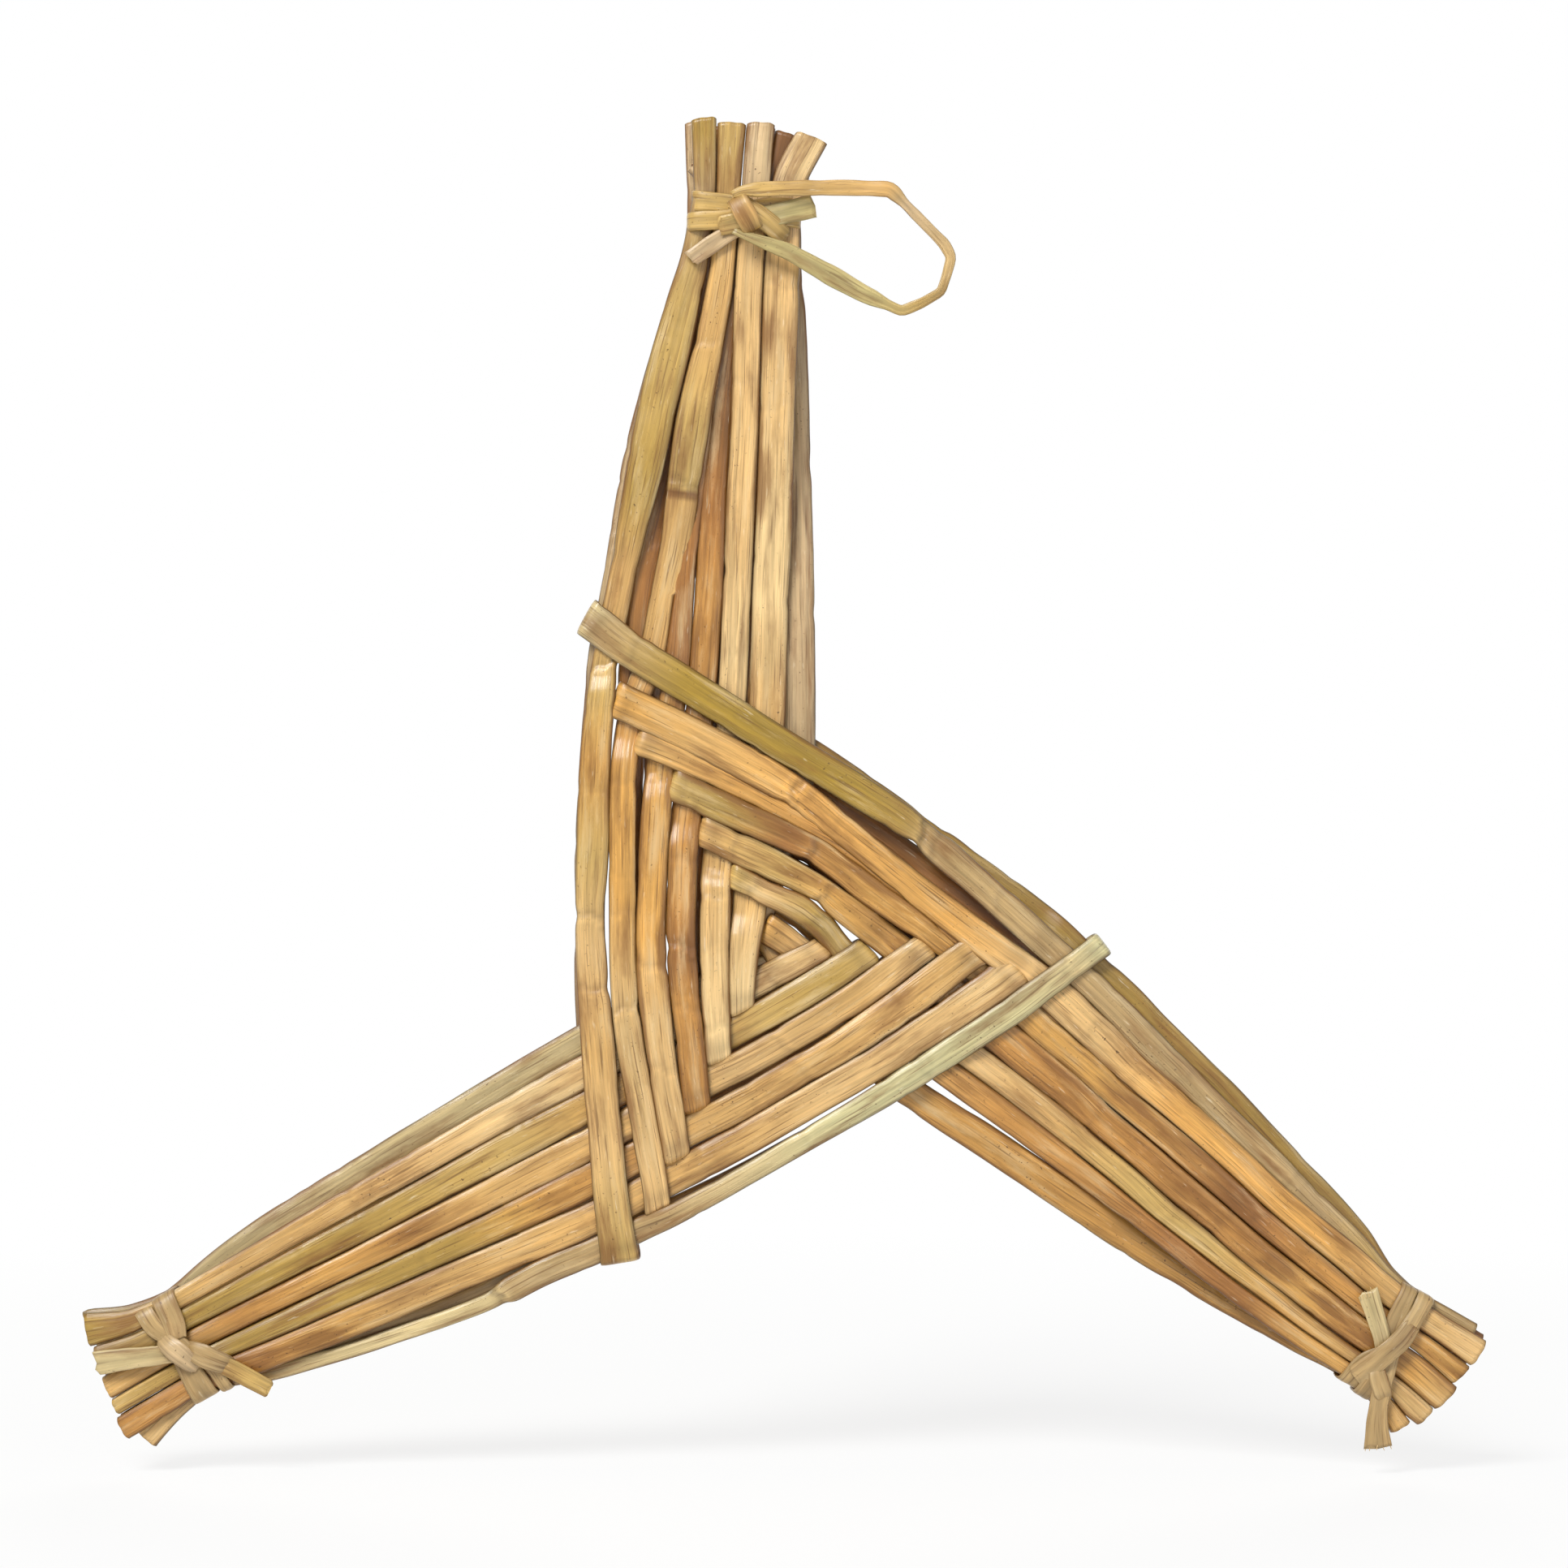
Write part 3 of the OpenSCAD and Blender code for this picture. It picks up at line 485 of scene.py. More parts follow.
# rounds that settle where two curved lanes cross
CROSSING_ROUNDS = 8


def crossing(over, over_side, under, under_side):
    """u on each of two lanes where an edge of the upper one crosses an edge of the one that it wraps.

    The arms stand at 120 degrees, so with a and b the two v there, the upper lane's u is
    -(a / 2 + b) / sin 60 and the lower lane's is (a + b / 2) / sin 60; a few rounds settle the curved lanes.
    """
    a = over.across(0.0)
    b = under.across(0.0)
    for _ in range(CROSSING_ROUNDS):
        uo, uu = -(a / 2 + b) / SIN60, (a + b / 2) / SIN60
        a = over.across(uo) + over_side * over.width(uo) / 2
        b = under.across(uu) + under_side * under.width(uu) / 2
    return float(uo), float(uu)


# How far a fold slants along the edge that it wraps, from square (0) to full (1): the outermost rush of each
# arm, and the others
OUTER_SLANT = (0.4, 0.08, 0.5)
INNER_SLANT = 0.75
# how far a fold stands off that edge, how far a change of layer stays off an edge, and its longest run
FOLD_OFF = 0.7
LAYER_OFF = 0.5
LAYER_RUN = 7.0
# the core is laid first and wraps nothing: u of its fold and of its high and low stretches
CORE_STATIONS = (-4.5, 2.0, 8.0)


def weave_stations(lane):
    """u of a rush's fold, of its high stretch's end and of its low stretch's start, and the fold's shear.

    The shear is how far the fold moves along u for each mm across.
    """
    f, i = lane.arm, lane.number
    # the arm that this one wraps, and the arm that wraps this one
    g, h = (f + 2) % 3, (f + 1) % 3
    if f == 1 and i == len(RUSHES[1]):
        return (*CORE_STATIONS, 0.0)
    # the right arm has one rush more, so past the first the left arm's rushes wrap the next one in
    first = i + 1 if f == 2 and i > 1 else i
    wrapped = LANES[g][first - 1]
    fold, at = crossing(lane, 0, wrapped, 1)
    slope = float(wrapped.across(at + 1.0) - wrapped.across(at - 1.0)) / 2
    run = -(0.5 + SIN60 * slope) / (SIN60 - 0.5 * slope)
    slant = OUTER_SLANT[f] if i == 1 else INNER_SLANT
    square = run * (1 - slant) * lane.data["wide"][0][1] / 2
    fold = min(fold + square - FOLD_OFF, lane.data["lane"][0][0])
    high_end = crossing(lane, -1, LANES[g][-1], -1)[0] + LAYER_OFF
    wrapper = LANES[h][(max(1, i - 1) if f == 1 else i) - 1]
    low_start = crossing(wrapper, -1, lane, -1)[1] - LAYER_OFF
    return fold, max(high_end, low_start - LAYER_RUN), low_start, run * slant


# A fold's reach in u, the power of its round and its points
FOLD_REACH = 1.3
FOLD_POWER = 0.8
FOLD_POINTS = 17
# beside it a rush spreads by a share of its width and is pressed thinner by so many mm, each over a length
FOLD_SPREAD = (0.05, 3.5)
FOLD_PRESS = (1.0, 1.8)
SHEAR_LENGTH = 4.0
# a sunken rush starts down this far from its fold, and is down after the second length
SINK_FROM, SINK_LENGTH = 8, 20


def rush_route(lane, step=0.9):
    """Centre line of a rush from its front tip, round its fold, to its back tip.

    Along a leg the depth w is high over what the rush wraps, low under what wraps it, and then the layer it
    has in its tie. The fold is half an ellipse in u and w, a little squared. With the line come width,
    thickness, shear and leg at each point, leg being 1 on the front leg and -1 on the back, and the fold's u.
    """
    f, i = lane.arm, lane.number
    fold, high_end, low_start, shear = weave_stations(lane)
    core = f == 1 and i == len(RUSHES[1])
    top = LOW if core else HIGH
    out = HIGH if i in OUTER_LAYER[f] else LOW
    start = fold + FOLD_REACH
    count = int((lane.tip - start) / step)
    u = start + (lane.tip - start) * np.linspace(0, 1, count)
    high_end = max(high_end, start + LAYER_OFF)
    depth_u = (start - 1, high_end, low_start, ARM_START[f], SPLIT[f], REACH[f], lane.tip + 1)
    depth = smooth_through(u, depth_u, (top, top, LOW, LOW, out, out, out))
    depth = depth - lane.data.get("sink", 0.0) * np.clip((u - fold - SINK_FROM) / SINK_LENGTH, 0, 1)
    phi = np.linspace(math.pi / 2, -math.pi / 2, FOLD_POINTS)[1:-1]
    bend_u = fold + FOLD_REACH * (1 - np.cos(phi) ** FOLD_POWER)
    bend_w = top * signed_power(np.sin(phi), FOLD_POWER)
    all_u = np.concatenate((u[::-1], bend_u, u))
    leg = np.concatenate((np.ones(count), np.sin(phi), -np.ones(count)))
    mix = (leg + 1) / 2
    v = lane.across(all_u, 1) * mix + lane.across(all_u, -1) * (1 - mix)
    w = np.concatenate((depth[::-1], bend_w, -depth))
    from_fold = all_u - fold
    width = lane.width(all_u, 1) * mix + lane.width(all_u, -1) * (1 - mix)
    width = width * (1 + FOLD_SPREAD[0] * bell(from_fold, FOLD_SPREAD[1]))
    thick = LAYER - FOLD_PRESS[0] * bell(from_fold, FOLD_PRESS[1])
    return np.stack((all_u, v, w), -1), width, thick, shear * bell(from_fold, SHEAR_LENGTH), leg, fold


def add_piece(name, tubes, material):
    """Mesh of closed tubes, each an array of rings: quads between rings, a face on the first and last ring.

    A tube is (points, uv, colours, stain): rings x sides x 3 in metres, rings x (sides + 1) x 2 in mm,
    rings x sides x 3 linear, and a number or rings x sides.
    """
    points, colours, stains, loops, uvs, sizes, smooth = [], [], [], [], [], [], []
    first = 0
    for co, uv, colour, stain in tubes:
        n, m, _ = co.shape
        k, j = np.meshgrid(np.arange(n - 1), np.arange(m), indexing="ij")
        j2 = (j + 1) % m
        quads = np.stack((k * m + j, k * m + j2, (k + 1) * m + j2, (k + 1) * m + j), -1).reshape(-1, 4)
        ends = np.concatenate((np.arange(m)[::-1], (n - 1) * m + np.arange(m)))
        loops.append(np.concatenate((quads.ravel(), ends)) + first)
        uvs.append(np.stack((uv[k, j], uv[k, j + 1], uv[k + 1, j + 1], uv[k + 1, j]), 2).reshape(-1, 2))
        uvs.append(np.concatenate((uv[0, :m][::-1], uv[-1, :m])))
        sizes.append(np.concatenate((np.full(len(quads), 4), [m, m])))
        smooth.append(np.concatenate((np.ones(len(quads), bool), [False, False])))
        points.append(co.reshape(-1, 3))
        colours.append(np.concatenate((colour, np.ones((n, m, 1))), -1).reshape(-1, 4))
        stains.append(np.broadcast_to(stain, (n, m)).reshape(-1))
        first += n * m
    loops, sizes = np.concatenate(loops), np.concatenate(sizes)
    mesh = bpy.data.meshes.new(name)
    mesh.vertices.add(first)
    mesh.vertices.foreach_set("co", np.concatenate(points).ravel().astype(np.float32))
    mesh.loops.add(len(loops))
    mesh.loops.foreach_set("vertex_index", loops.astype(np.int32))
    mesh.polygons.add(len(sizes))
    mesh.polygons.foreach_set("loop_start", np.concatenate(([0], np.cumsum(sizes)[:-1])).astype(np.int32))
    mesh.polygons.foreach_set("use_smooth", np.concatenate(smooth))
    layer = mesh.uv_layers.new(name="stem_mm")
    layer.data.foreach_set("uv", np.concatenate(uvs).ravel().astype(np.float32))
    tint = mesh.attributes.new("tint", "FLOAT_COLOR", "POINT")
    tint.data.foreach_set("color", np.concatenate(colours).ravel().astype(np.float32))
    mark = mesh.attributes.new("stain", "FLOAT", "POINT")
    mark.data.foreach_set("value", np.concatenate(stains).astype(np.float32))
    mesh.update()
    mesh.validate()
    mesh.materials.append(material)
    piece = bpy.data.objects.new(name, mesh)
    bpy.context.scene.collection.objects.link(piece)
    return piece


def colour_along(u, stops, palette):
    """Linear colour at u between given stops of (u, name in the palette)."""
    at = np.array([stop[0] for stop in stops], float)
    rgb = np.array([palette[stop[1]] for stop in stops])
    return np.stack([np.interp(u, at, rgb[:, c]) for c in range(3)], -1)


# How a pressed stem is uneven along itself, each as size, longest wave and shortest wave in mm.
# Its route sways across and bobs to the front and back, and its face rolls, in degrees.
SWAY = (0.08, 110, 30)
BOB = (0.1, 40, 9)
ROLL = (6.0, 120, 30)
# its edges waver and its grooves wander across, by a share of the half width, and the grooves come and go
EDGE_WAVE = (0.018, 45, 9)
GROOVE_WAVE = (0.15, 120, 40)
GROOVE_FADE = (0.9, 60, 15)
# its face dents, and crumples where the first wave is over a limit, the second one bending the crumples
DENT_WAVE = (0.19, 34, 9)
CRUMPLE_WHERE = (1.0, 45, 20)
CRUMPLE_BEND = (2.0, 14, 5)
CRUMPLE_LIMIT = 0.3
# its stain and its lightness come and go
STAIN_WAVE = (0.5, 70, 16)
LIGHT_WAVE = (0.07, 90, 18)
# sway, bob and roll fade within this length of the fold
CALM_LENGTH = 6
# the section: the power of its face, how its points are spread across, and how much wider it is than its lane
FACE_POWER = 3.8
SPREAD_POWER = 0.8
PRESSED_OUT = 0.1
# two grooves to a face: the range of their places across, their mean and greatest depth, their breadths
GROOVES = 2
GROOVE_PLACE = 0.8
GROOVE_DEEP = (0.3, 1.2)
GROOVE_BROAD = (0.05, 0.11)
# ripples beside the fold, and crumples: wavelength and height in mm
RIPPLE = (2.6, 0.1)
CRUMPLE = (3.4, 0.16)
# how far from the fold the ripples are, and how far they reach
RIPPLE_AT, RIPPLE_REACH = 3, 4
# how strong the ripples are across the face: their mean, and how far they come and go
RIPPLE_MEAN, RIPPLE_SWING = 0.6, 0.4
# how often each pattern goes up and down across the face, as a factor of x in its sine
RIPPLE_ACROSS, DENT_ACROSS, CRUMPLE_ACROSS = 3, 1.6, 2.2
KINK_ACROSS, RAGGED_ACROSS = 5, 7
# kinks besides those listed: how many, the first u, and their heights in mm
KINKS = 5
KINK_FROM = -40
KINK_HIGH = (0.04, 0.16)
# a kink runs across at a slant and in a wave; its crest is so broad, and its dip lies behind it
KINK_SLANT, KINK_WAVE = 1.5, 0.4
CREST_BROAD = 0.6
DIP_AT, DIP_BROAD, DIP_DEEP = 1.4, 0.8, 0.9
# painted highlight on a kink's crest and painted shade in its dip, per mm of its height
CREST_PAINTED_HIGHLIGHT, DIP_PAINTED_SHADE = 0.5, 0.7
# one edge is pinched in there by a share of the kink's height: the one that a sine of the kink's u picks
PINCH, PINCH_AT, PINCH_LENGTH = 0.35, 1, 1.6
PINCH_PICK = 9
# a painted highlight on the lip of a fold and painted shade in the hollow behind it: share, place and length
LIP_PAINTED_HIGHLIGHT = (0.14, 0.4, 0.9)
LIP_PAINTED_SHADE = (0.24, 3, 1.6)
# a cut tip: how far it slants, is ragged and has its corners off, and how far down the stem that reaches
TIP_SLANT, TIP_RAGGED, TIP_CORNER = 0.35, 0.05, 0.45
TIP_LENGTH = 1.5
# the edges are stained and darkened with painted shade, and a painted light tilt makes one edge lighter than
# the other
EDGE_STAIN = 0.9
EDGE_PAINTED_SHADE = 0.93
PAINTED_LIGHT_TILT = 0.06
# how close to the edges that and the rounded corners stay, as powers of x
STAIN_POWER, PAINTED_SHADE_POWER, CORNER_POWER = 4, 12, 5
# the front's colour goes on round the fold for this length of the back leg
FRONT_COLOUR_LENGTH = 25
# leg is 1 on the front and -1 on the back: kinks and marks end round the fold, here
FRONT_END = -0.5
# no two stems share a stretch of the pattern: the UV starts this much further on for each rush and each arm
RUSH_APART, ARM_APART = 700.0, 7000.0
# the thickness that the UV's way round a stem counts with, and the step from arm to arm in the stems' seeds
UV_THICK = 1.7
ARM_SEEDS = 100


def stem_half_width(lane, s, u, leg, width, x, rng):
    """Half width at each ring's points: its lane's, uneven at both edges, as far as neighbours leave free."""
    edge = [1 + wander(s, rng, *EDGE_WAVE) - nicks(s, rng) for _ in range(2)]
    a = np.where(x[None, :] > 0, edge[0][:, None], edge[1][:, None]) * (width / 2 + PRESSED_OUT)[:, None]
    for way in (1, -1):
        free = np.where(leg > 0, free_half(lane, u, way, 1), free_half(lane, u, way, -1))
        a = np.where(x[None, :] * way > 0, np.minimum(a, free[:, None]), a)
    return a


def stem_relief(s, u, from_fold, x, y, groove, rng):
    """How far a stem's faces stand off a plain section, in mm.

    Grooves are bells across the face that wander along it. Ripples beside the fold and crumples further on
    are sines along the stem. Dents tip the face one way and the other. All fade to nothing at the edges.
    """
    grooves = np.zeros((len(s), len(x)))
    for face in (1, -1):
        for _ in range(GROOVES):
            place = rng.uniform(-GROOVE_PLACE, GROOVE_PLACE) + wander(s, rng, *GROOVE_WAVE)
            deep = np.clip(GROOVE_DEEP[0] + wander(s, rng, *GROOVE_FADE), 0, GROOVE_DEEP[1])
            cut = bell(x[None, :] - place[:, None], rng.uniform(*GROOVE_BROAD))
            grooves += face * deep[:, None] * cut * (y * face > 0)
    ripple = np.sin(u * 2 * math.pi / RIPPLE[0] + rng.uniform(*PHASES))
    ripple = ripple * bell(from_fold - RIPPLE_AT, RIPPLE_REACH)
    ripple = ripple[:, None] * np.sign(y) * (RIPPLE_MEAN + RIPPLE_SWING * np.cos(RIPPLE_ACROSS * x))
    dent = wander(s, rng, *DENT_WAVE)[:, None] * np.sin(DENT_ACROSS * x + rng.uniform(*PHASES))
    crumpled = np.clip(wander(s, rng, *CRUMPLE_WHERE) - CRUMPLE_LIMIT, 0, 1)[:, None]
    bent = wander(s, rng, *CRUMPLE_BEND)[:, None]
    crumple = crumpled * np.sin(s[:, None] * 2 * math.pi / CRUMPLE[0] + CRUMPLE_ACROSS * x + bent)
    return (dent + CRUMPLE[1] * crumple + RIPPLE[1] * ripple - groove * grooves) * np.abs(y)


def stem_surface(lane, groove, palette, sides=40):
    """A pressed stem: a flat section carried along the rush's route.

    With x from -1 to 1 across, the half section is sqrt(1 - |x|^3.8) times half the thickness: a flat face
    with tight edges. Shallow grooves run along each face, the face dents and rolls, kinks stand up across it
    and pinch one edge, and each cut tip is a rim round a sunken hollow.
    """
    path, width, thick, shear, leg, fold = rush_route(lane)
    rng = np.random.default_rng(ARM_SEEDS * lane.arm + lane.number)
    s = run_along(path)
    from_fold = path[:, 0] - fold
    calm = 1 - bell(from_fold, CALM_LENGTH)
    sway = wander(s, rng, *SWAY) * calm
    bob = wander(s, rng, *BOB) * calm
    path = path + np.stack((0 * s, sway, bob), -1)
    u = path[:, :1]
    on_front = leg[:, None] > FRONT_END
    along = directions(path)
    side = rows_unit(np.array([0.0, 1.0, 0.0]) - along * along[:, 1:2])
    up = np.cross(along, side)
    roll = np.radians(wander(s, rng, *ROLL) * calm)[:, None]
    side, up = side * np.cos(roll) + up * np.sin(roll), up * np.cos(roll) - side * np.sin(roll)
    t = np.linspace(0, 2 * math.pi, sides, endpoint=False)
    x = signed_power(np.cos(t), SPREAD_POWER)
    y = np.sign(np.sin(t)) * np.sqrt(np.clip(1 - np.abs(x) ** FACE_POWER, 0, 1))
    a = stem_half_width(lane, s, path[:, 0], leg, width, x, rng)
    rise = (thick / 2)[:, None] * y + stem_relief(s, path[:, 0], from_fold, x, y, groove, rng)
    # painted highlight on the lip of the fold and painted shade in the hollow behind it
    light = (LIP_PAINTED_HIGHLIGHT[0] * bell(from_fold - LIP_PAINTED_HIGHLIGHT[1], LIP_PAINTED_HIGHLIGHT[2])
             - LIP_PAINTED_SHADE[0] * bell(from_fold - LIP_PAINTED_SHADE[1], LIP_PAINTED_SHADE[2]))
    light = np.repeat(light[:, None], sides, 1)
    # kinks: a raised line across with a dip after it and one edge pinched; painted highlight on the crest,
    # painted shade in the dip
    drawn = [(rng.uniform(KINK_FROM, lane.tip), rng.uniform(*KINK_HIGH)) for _ in range(KINKS)]
    for at, high in (*lane.data.get("crease", ()), *drawn):
        bent = u - at - rng.uniform(-1, 1) * x * KINK_SLANT - KINK_WAVE * np.sin(KINK_ACROSS * x + at)
        crest = bell(bent, CREST_BROAD) * on_front
        dip = bell(bent - DIP_AT, DIP_BROAD) * on_front
        rise = rise + high * y * (crest - DIP_DEEP * dip)
        light = light + high * (CREST_PAINTED_HIGHLIGHT * crest - DIP_PAINTED_SHADE * dip)
        pinched = x * math.sin(PINCH_PICK * at) > 0
        a = a * (1 - PINCH * high * bell(u - at - PINCH_AT, PINCH_LENGTH) * pinched)
    p = path[:, None, :] + side[:, None, :] * (a * x)[..., None] + up[:, None, :] * rise[..., None]
    p[..., 0] += shear[:, None] * (a * x)
    # a slanted, slightly ragged cut at each tip, with rounded corners
    ends = np.exp(-np.abs(s - s[0]) / TIP_LENGTH) + np.exp(-np.abs(s[-1] - s) / TIP_LENGTH)
    cut = TIP_SLANT * rng.uniform(-1, 1) * x + TIP_RAGGED * np.sin(RAGGED_ACROSS * x + rng.uniform(*PHASES))
    p[..., 0] += ends[:, None] * (cut - TIP_CORNER * np.abs(x) ** CORNER_POWER)[None, :]
    # brown stains: the rush's own share all over, more along its edges, and the listed marks
    stain = lane.data["stain"] + EDGE_STAIN * np.abs(x) ** STAIN_POWER + wander(s, rng, *STAIN_WAVE)[:, None]
    for at, place, long, broad, dark in lane.data.get("marks", ()):
        stain = stain + dark * bell(u - at, long) * bell(x[None, :] - place, broad) * on_front
    offset = RUSH_APART * lane.number + ARM_APART * lane.arm
    uv = tube_uv(s + offset, t, 2 * width.mean() + 2 * UV_THICK)
    front = colour_along(path[:, 0], lane.data["tint"], palette)
    # the back leg's own colour, darkened by painted shade
    back = palette[lane.data["back_tint"]] * np.array(BACK_SHADE)
    share = np.maximum(np.clip((leg + 1) / 2, 0, 1), bell(from_fold, FRONT_COLOUR_LENGTH))[:, None]
    colours = front * share + back * (1 - share)
    # painted shade darkens the edges where rushes meet, and a painted light tilt makes one edge lighter
    shade = 1 - EDGE_PAINTED_SHADE * np.abs(x) ** PAINTED_SHADE_POWER + rng.uniform(-PAINTED_LIGHT_TILT, PAINTED_LIGHT_TILT) * x
    light = (1 + light + wander(s, rng, *LIGHT_WAVE)[:, None]) * shade
    return hollow_ends(p, uv, np.clip(colours[:, None, :] * light[..., None], 0, 1), np.clip(stain, 0, 2))


# Breadths of the nicks along an edge in mm, and their depths as shares of the deepest
NICK_BROAD = (0.8, 2.6)
NICK_SHARE = (0.2, 1)


def nicks(s, rng, every=28.0, deep=0.07):
    """Small nicks along an edge: a sum of narrow bells at drawn places, as shares of the half width."""
    count = int(s[-1] / every)
    place = rng.uniform(s[0], s[-1], count)
    broad = rng.uniform(*NICK_BROAD, count)
    return (rng.uniform(*NICK_SHARE, count) * deep * bell(s[:, None] - place, broad)).sum(1)


# A cut tip's hollow, as shares of the tip's ring along u, v and w: the rim's inner edge and the floor
RIM_SHARE = np.array([0.97, 0.9, 0.45])
FLOOR_SHARE = np.array([0.8, 0.82, 0.35])
# how deep the floor lies, and how far painted shade darkens the floor and the rim
HOLLOW_DEEP = 1.6
FLOOR_SHADE, RIM_SHADE = 0.4, 0.9


def hollow_ends(p, uv, colours, stain):
    """Adds two rings to each end of a tube, a rim and a sunken floor, so that a cut tip shows its hollow."""
    def end(ring, inner):
        centre = ring.mean(0)
        inwards = rows_unit(inner.mean(0) - centre)
        rim = centre + (ring - centre) * RIM_SHARE
        floor = centre + (ring - centre) * FLOOR_SHARE + inwards * HOLLOW_DEEP
        return rim[None], floor[None]

    # the ring three further on shows the way in
    first_rim, first_floor = end(p[0], p[3])
    last_rim, last_floor = end(p[-1], p[-4])
    p = np.concatenate((first_floor, first_rim, p, last_rim, last_floor))
    uv = np.concatenate((uv[:1], uv[:1], uv, uv[-1:], uv[-1:]))
    # painted shade on the hollow's floor and rim
    colours = np.concatenate((colours[:1] * FLOOR_SHADE, colours[:1] * RIM_SHADE, colours,
                              colours[-1:] * RIM_SHADE, colours[-1:] * FLOOR_SHADE))
    stain = np.concatenate((stain[:1], stain[:1], stain, stain[-1:], stain[-1:]))
    return p, uv, colours, stain


def add_node(tree, kind, inputs=None, **settings):
    """Adds a node, sets its settings, and fills each named or numbered input with a value or a link."""
    node = tree.nodes.new(kind)
    for key, value in settings.items():
        setattr(node, key, value)
    for key, value in (inputs or {}).items():
        if isinstance(value, bpy.types.NodeSocket):
            tree.links.new(value, node.inputs[key])
        else:
            node.inputs[key].default_value = value
    return node


def new_material(name):
    """An empty node material with its shader and output."""
    material = bpy.data.materials.new(name)
    material.use_nodes = True
    tree = material.node_tree
    tree.nodes.clear()
    shader = tree.nodes.new("ShaderNodeBsdfPrincipled")
    add_node(tree, "ShaderNodeOutputMaterial", {"Surface": shader.outputs[0]})
    return material, tree, shader


# Patterns of a stem: their size along and across in mm, and how much detail they have.
# The streaks, fibres and veins are so many fibres wide, and drawn a little coarser than real ones, to show.
PATTERNS = {"cloud": (24, 2.6, 5), "broad": (60, 7, 2), "speck": (0.8, 0.5, 1), "dirty": (22, 2.6, 3),
            "scuff_and_glint": (5, 0.5, 2)}
FIBRE_PATTERNS = {"streak": (50, 2.4, 3), "fibre": (22, 0.7, 3), "vein": (16, 0.6, 1)}
# each pattern is read this many widths further across, so that no two line up
PATTERN_APART = 31.7
# the darkest and lightest that streaks and fibres make the tint
STREAK_SHADES = (0.74, 1.12)
# most of a noise lies between these values
NOISE_RANGE = (0.3, 0.7)
# over that range the roughness goes from the first to the second, off its own value
ROUGH_OFF = (-0.1, 0.14)
# how much a stain adds to the clouds
STAIN_SHARE = 0.12
# the pale flecks are worn scuffs and painted glints of the wax skin
# Paints over the tint: the pattern, where it starts and is full, its share there and its colour
PAINTS = (("broad", 0.5, 0.72, 0.25, "#9a8048"), ("cloud", 0.46, 0.28, 0.45, "#e2c898"),
          ("blot", 0.555, 0.75, 0.75, "#744818"), ("vein", 0.59, 0.7, 0.6, "#5f3d1a"),
          ("scuff_and_glint", 0.66, 0.76, 0.35, "#f3e6c8"), ("speck", 0.66, 0.72, 0.8, "#4a2f16"))
# specks keep to the dirty stretches, which start and are full here
DIRTY = (0.48, 0.62)
# how rough a noise is and how strongly the fibres stand out, and the light-bending index of a plant's wax
NOISE_ROUGH = 0.6
FIBRE_STRENGTH = 0.8
WAX_IOR = 1.48


def stem_material(name, fibre_mm, rough, relief_mm):
    """Dried plant stem, pressed flat and split or whole: the material of that name, made on first use.

    Dried rush is a waxy skin over long fibres. It shows as a satin face with fine light and dark lines along
    the stem, cloudy olive, brown and bleached patches a centimetre or two long, and specks of mould under a
    millimetre. Patterns lie along the stem's own UV map, in mm.
    """
    if name in bpy.data.materials:
        return bpy.data.materials[name]
    material, tree, shader = new_material(name)
    uv = add_node(tree, "ShaderNodeUVMap", uv_map="stem_mm").outputs[0]
    tint = add_node(tree, "ShaderNodeAttribute", attribute_name="tint").outputs["Color"]
    stain = add_node(tree, "ShaderNodeAttribute", attribute_name="stain").outputs["Fac"]
    sizes = {key: (along, wide * fibre_mm, detail) for key, (along, wide, detail) in FIBRE_PATTERNS.items()}
    noise = {}
    for key, (along, across, detail) in {**sizes, **PATTERNS}.items():
        place = add_node(tree, "ShaderNodeMapping", {"Vector": uv, "Scale": (1 / along, 1 / across, 1),
                                                     "Location": (0, PATTERN_APART * len(noise), 0)})
        grain = add_node(tree, "ShaderNodeTexNoise", {"Vector": place.outputs[0], "Scale": 1.0,
                                                      "Detail": detail, "Roughness": NOISE_ROUGH})
        noise[key] = grain.outputs[0]
    noise["blot"] = add_node(tree, "ShaderNodeMath", {0: stain, 1: STAIN_SHARE, 2: noise["cloud"]},
                             operation="MULTIPLY_ADD").outputs[0]
    colour = tint
    for key in ("streak", "fibre"):
        grey = add_node(tree, "ShaderNodeMapRange", {0: noise[key], 1: NOISE_RANGE[0], 2: NOISE_RANGE[1],
                                                     3: STREAK_SHADES[0], 4: STREAK_SHADES[1]}).outputs[0]
        colour = add_node(tree, "ShaderNodeMix", {0: 1.0, 6: colour, 7: grey}, data_type="RGBA",
                          blend_type="MULTIPLY").outputs[2]
    for key, low, high, share, paint in PAINTS:
        if key == "speck":
            share = add_node(tree, "ShaderNodeMapRange", {0: noise["dirty"], 1: DIRTY[0], 2: DIRTY[1],
                                                          4: share}).outputs[0]
        mask = add_node(tree, "ShaderNodeMapRange", {0: noise[key], 1: low, 2: high, 4: share}).outputs[0]
        colour = add_node(tree, "ShaderNodeMix", {0: mask, 6: colour, 7: linear(paint) + (1,)},
                          data_type="RGBA").outputs[2]
    tree.links.new(colour, shader.inputs["Base Color"])
    gloss = add_node(tree, "ShaderNodeMapRange", {0: noise["cloud"], 1: NOISE_RANGE[0], 2: NOISE_RANGE[1],
                                                  3: rough + ROUGH_OFF[0], 4: rough + ROUGH_OFF[1]})
    tree.links.new(gloss.outputs[0], shader.inputs["Roughness"])
    bump = add_node(tree, "ShaderNodeBump", {"Height": noise["fibre"], "Distance": relief_mm * MM,
                                             "Strength": FIBRE_STRENGTH})
    tree.links.new(bump.outputs[0], shader.inputs["Normal"])
    shader.inputs["IOR"].default_value = WAX_IOR
    return material


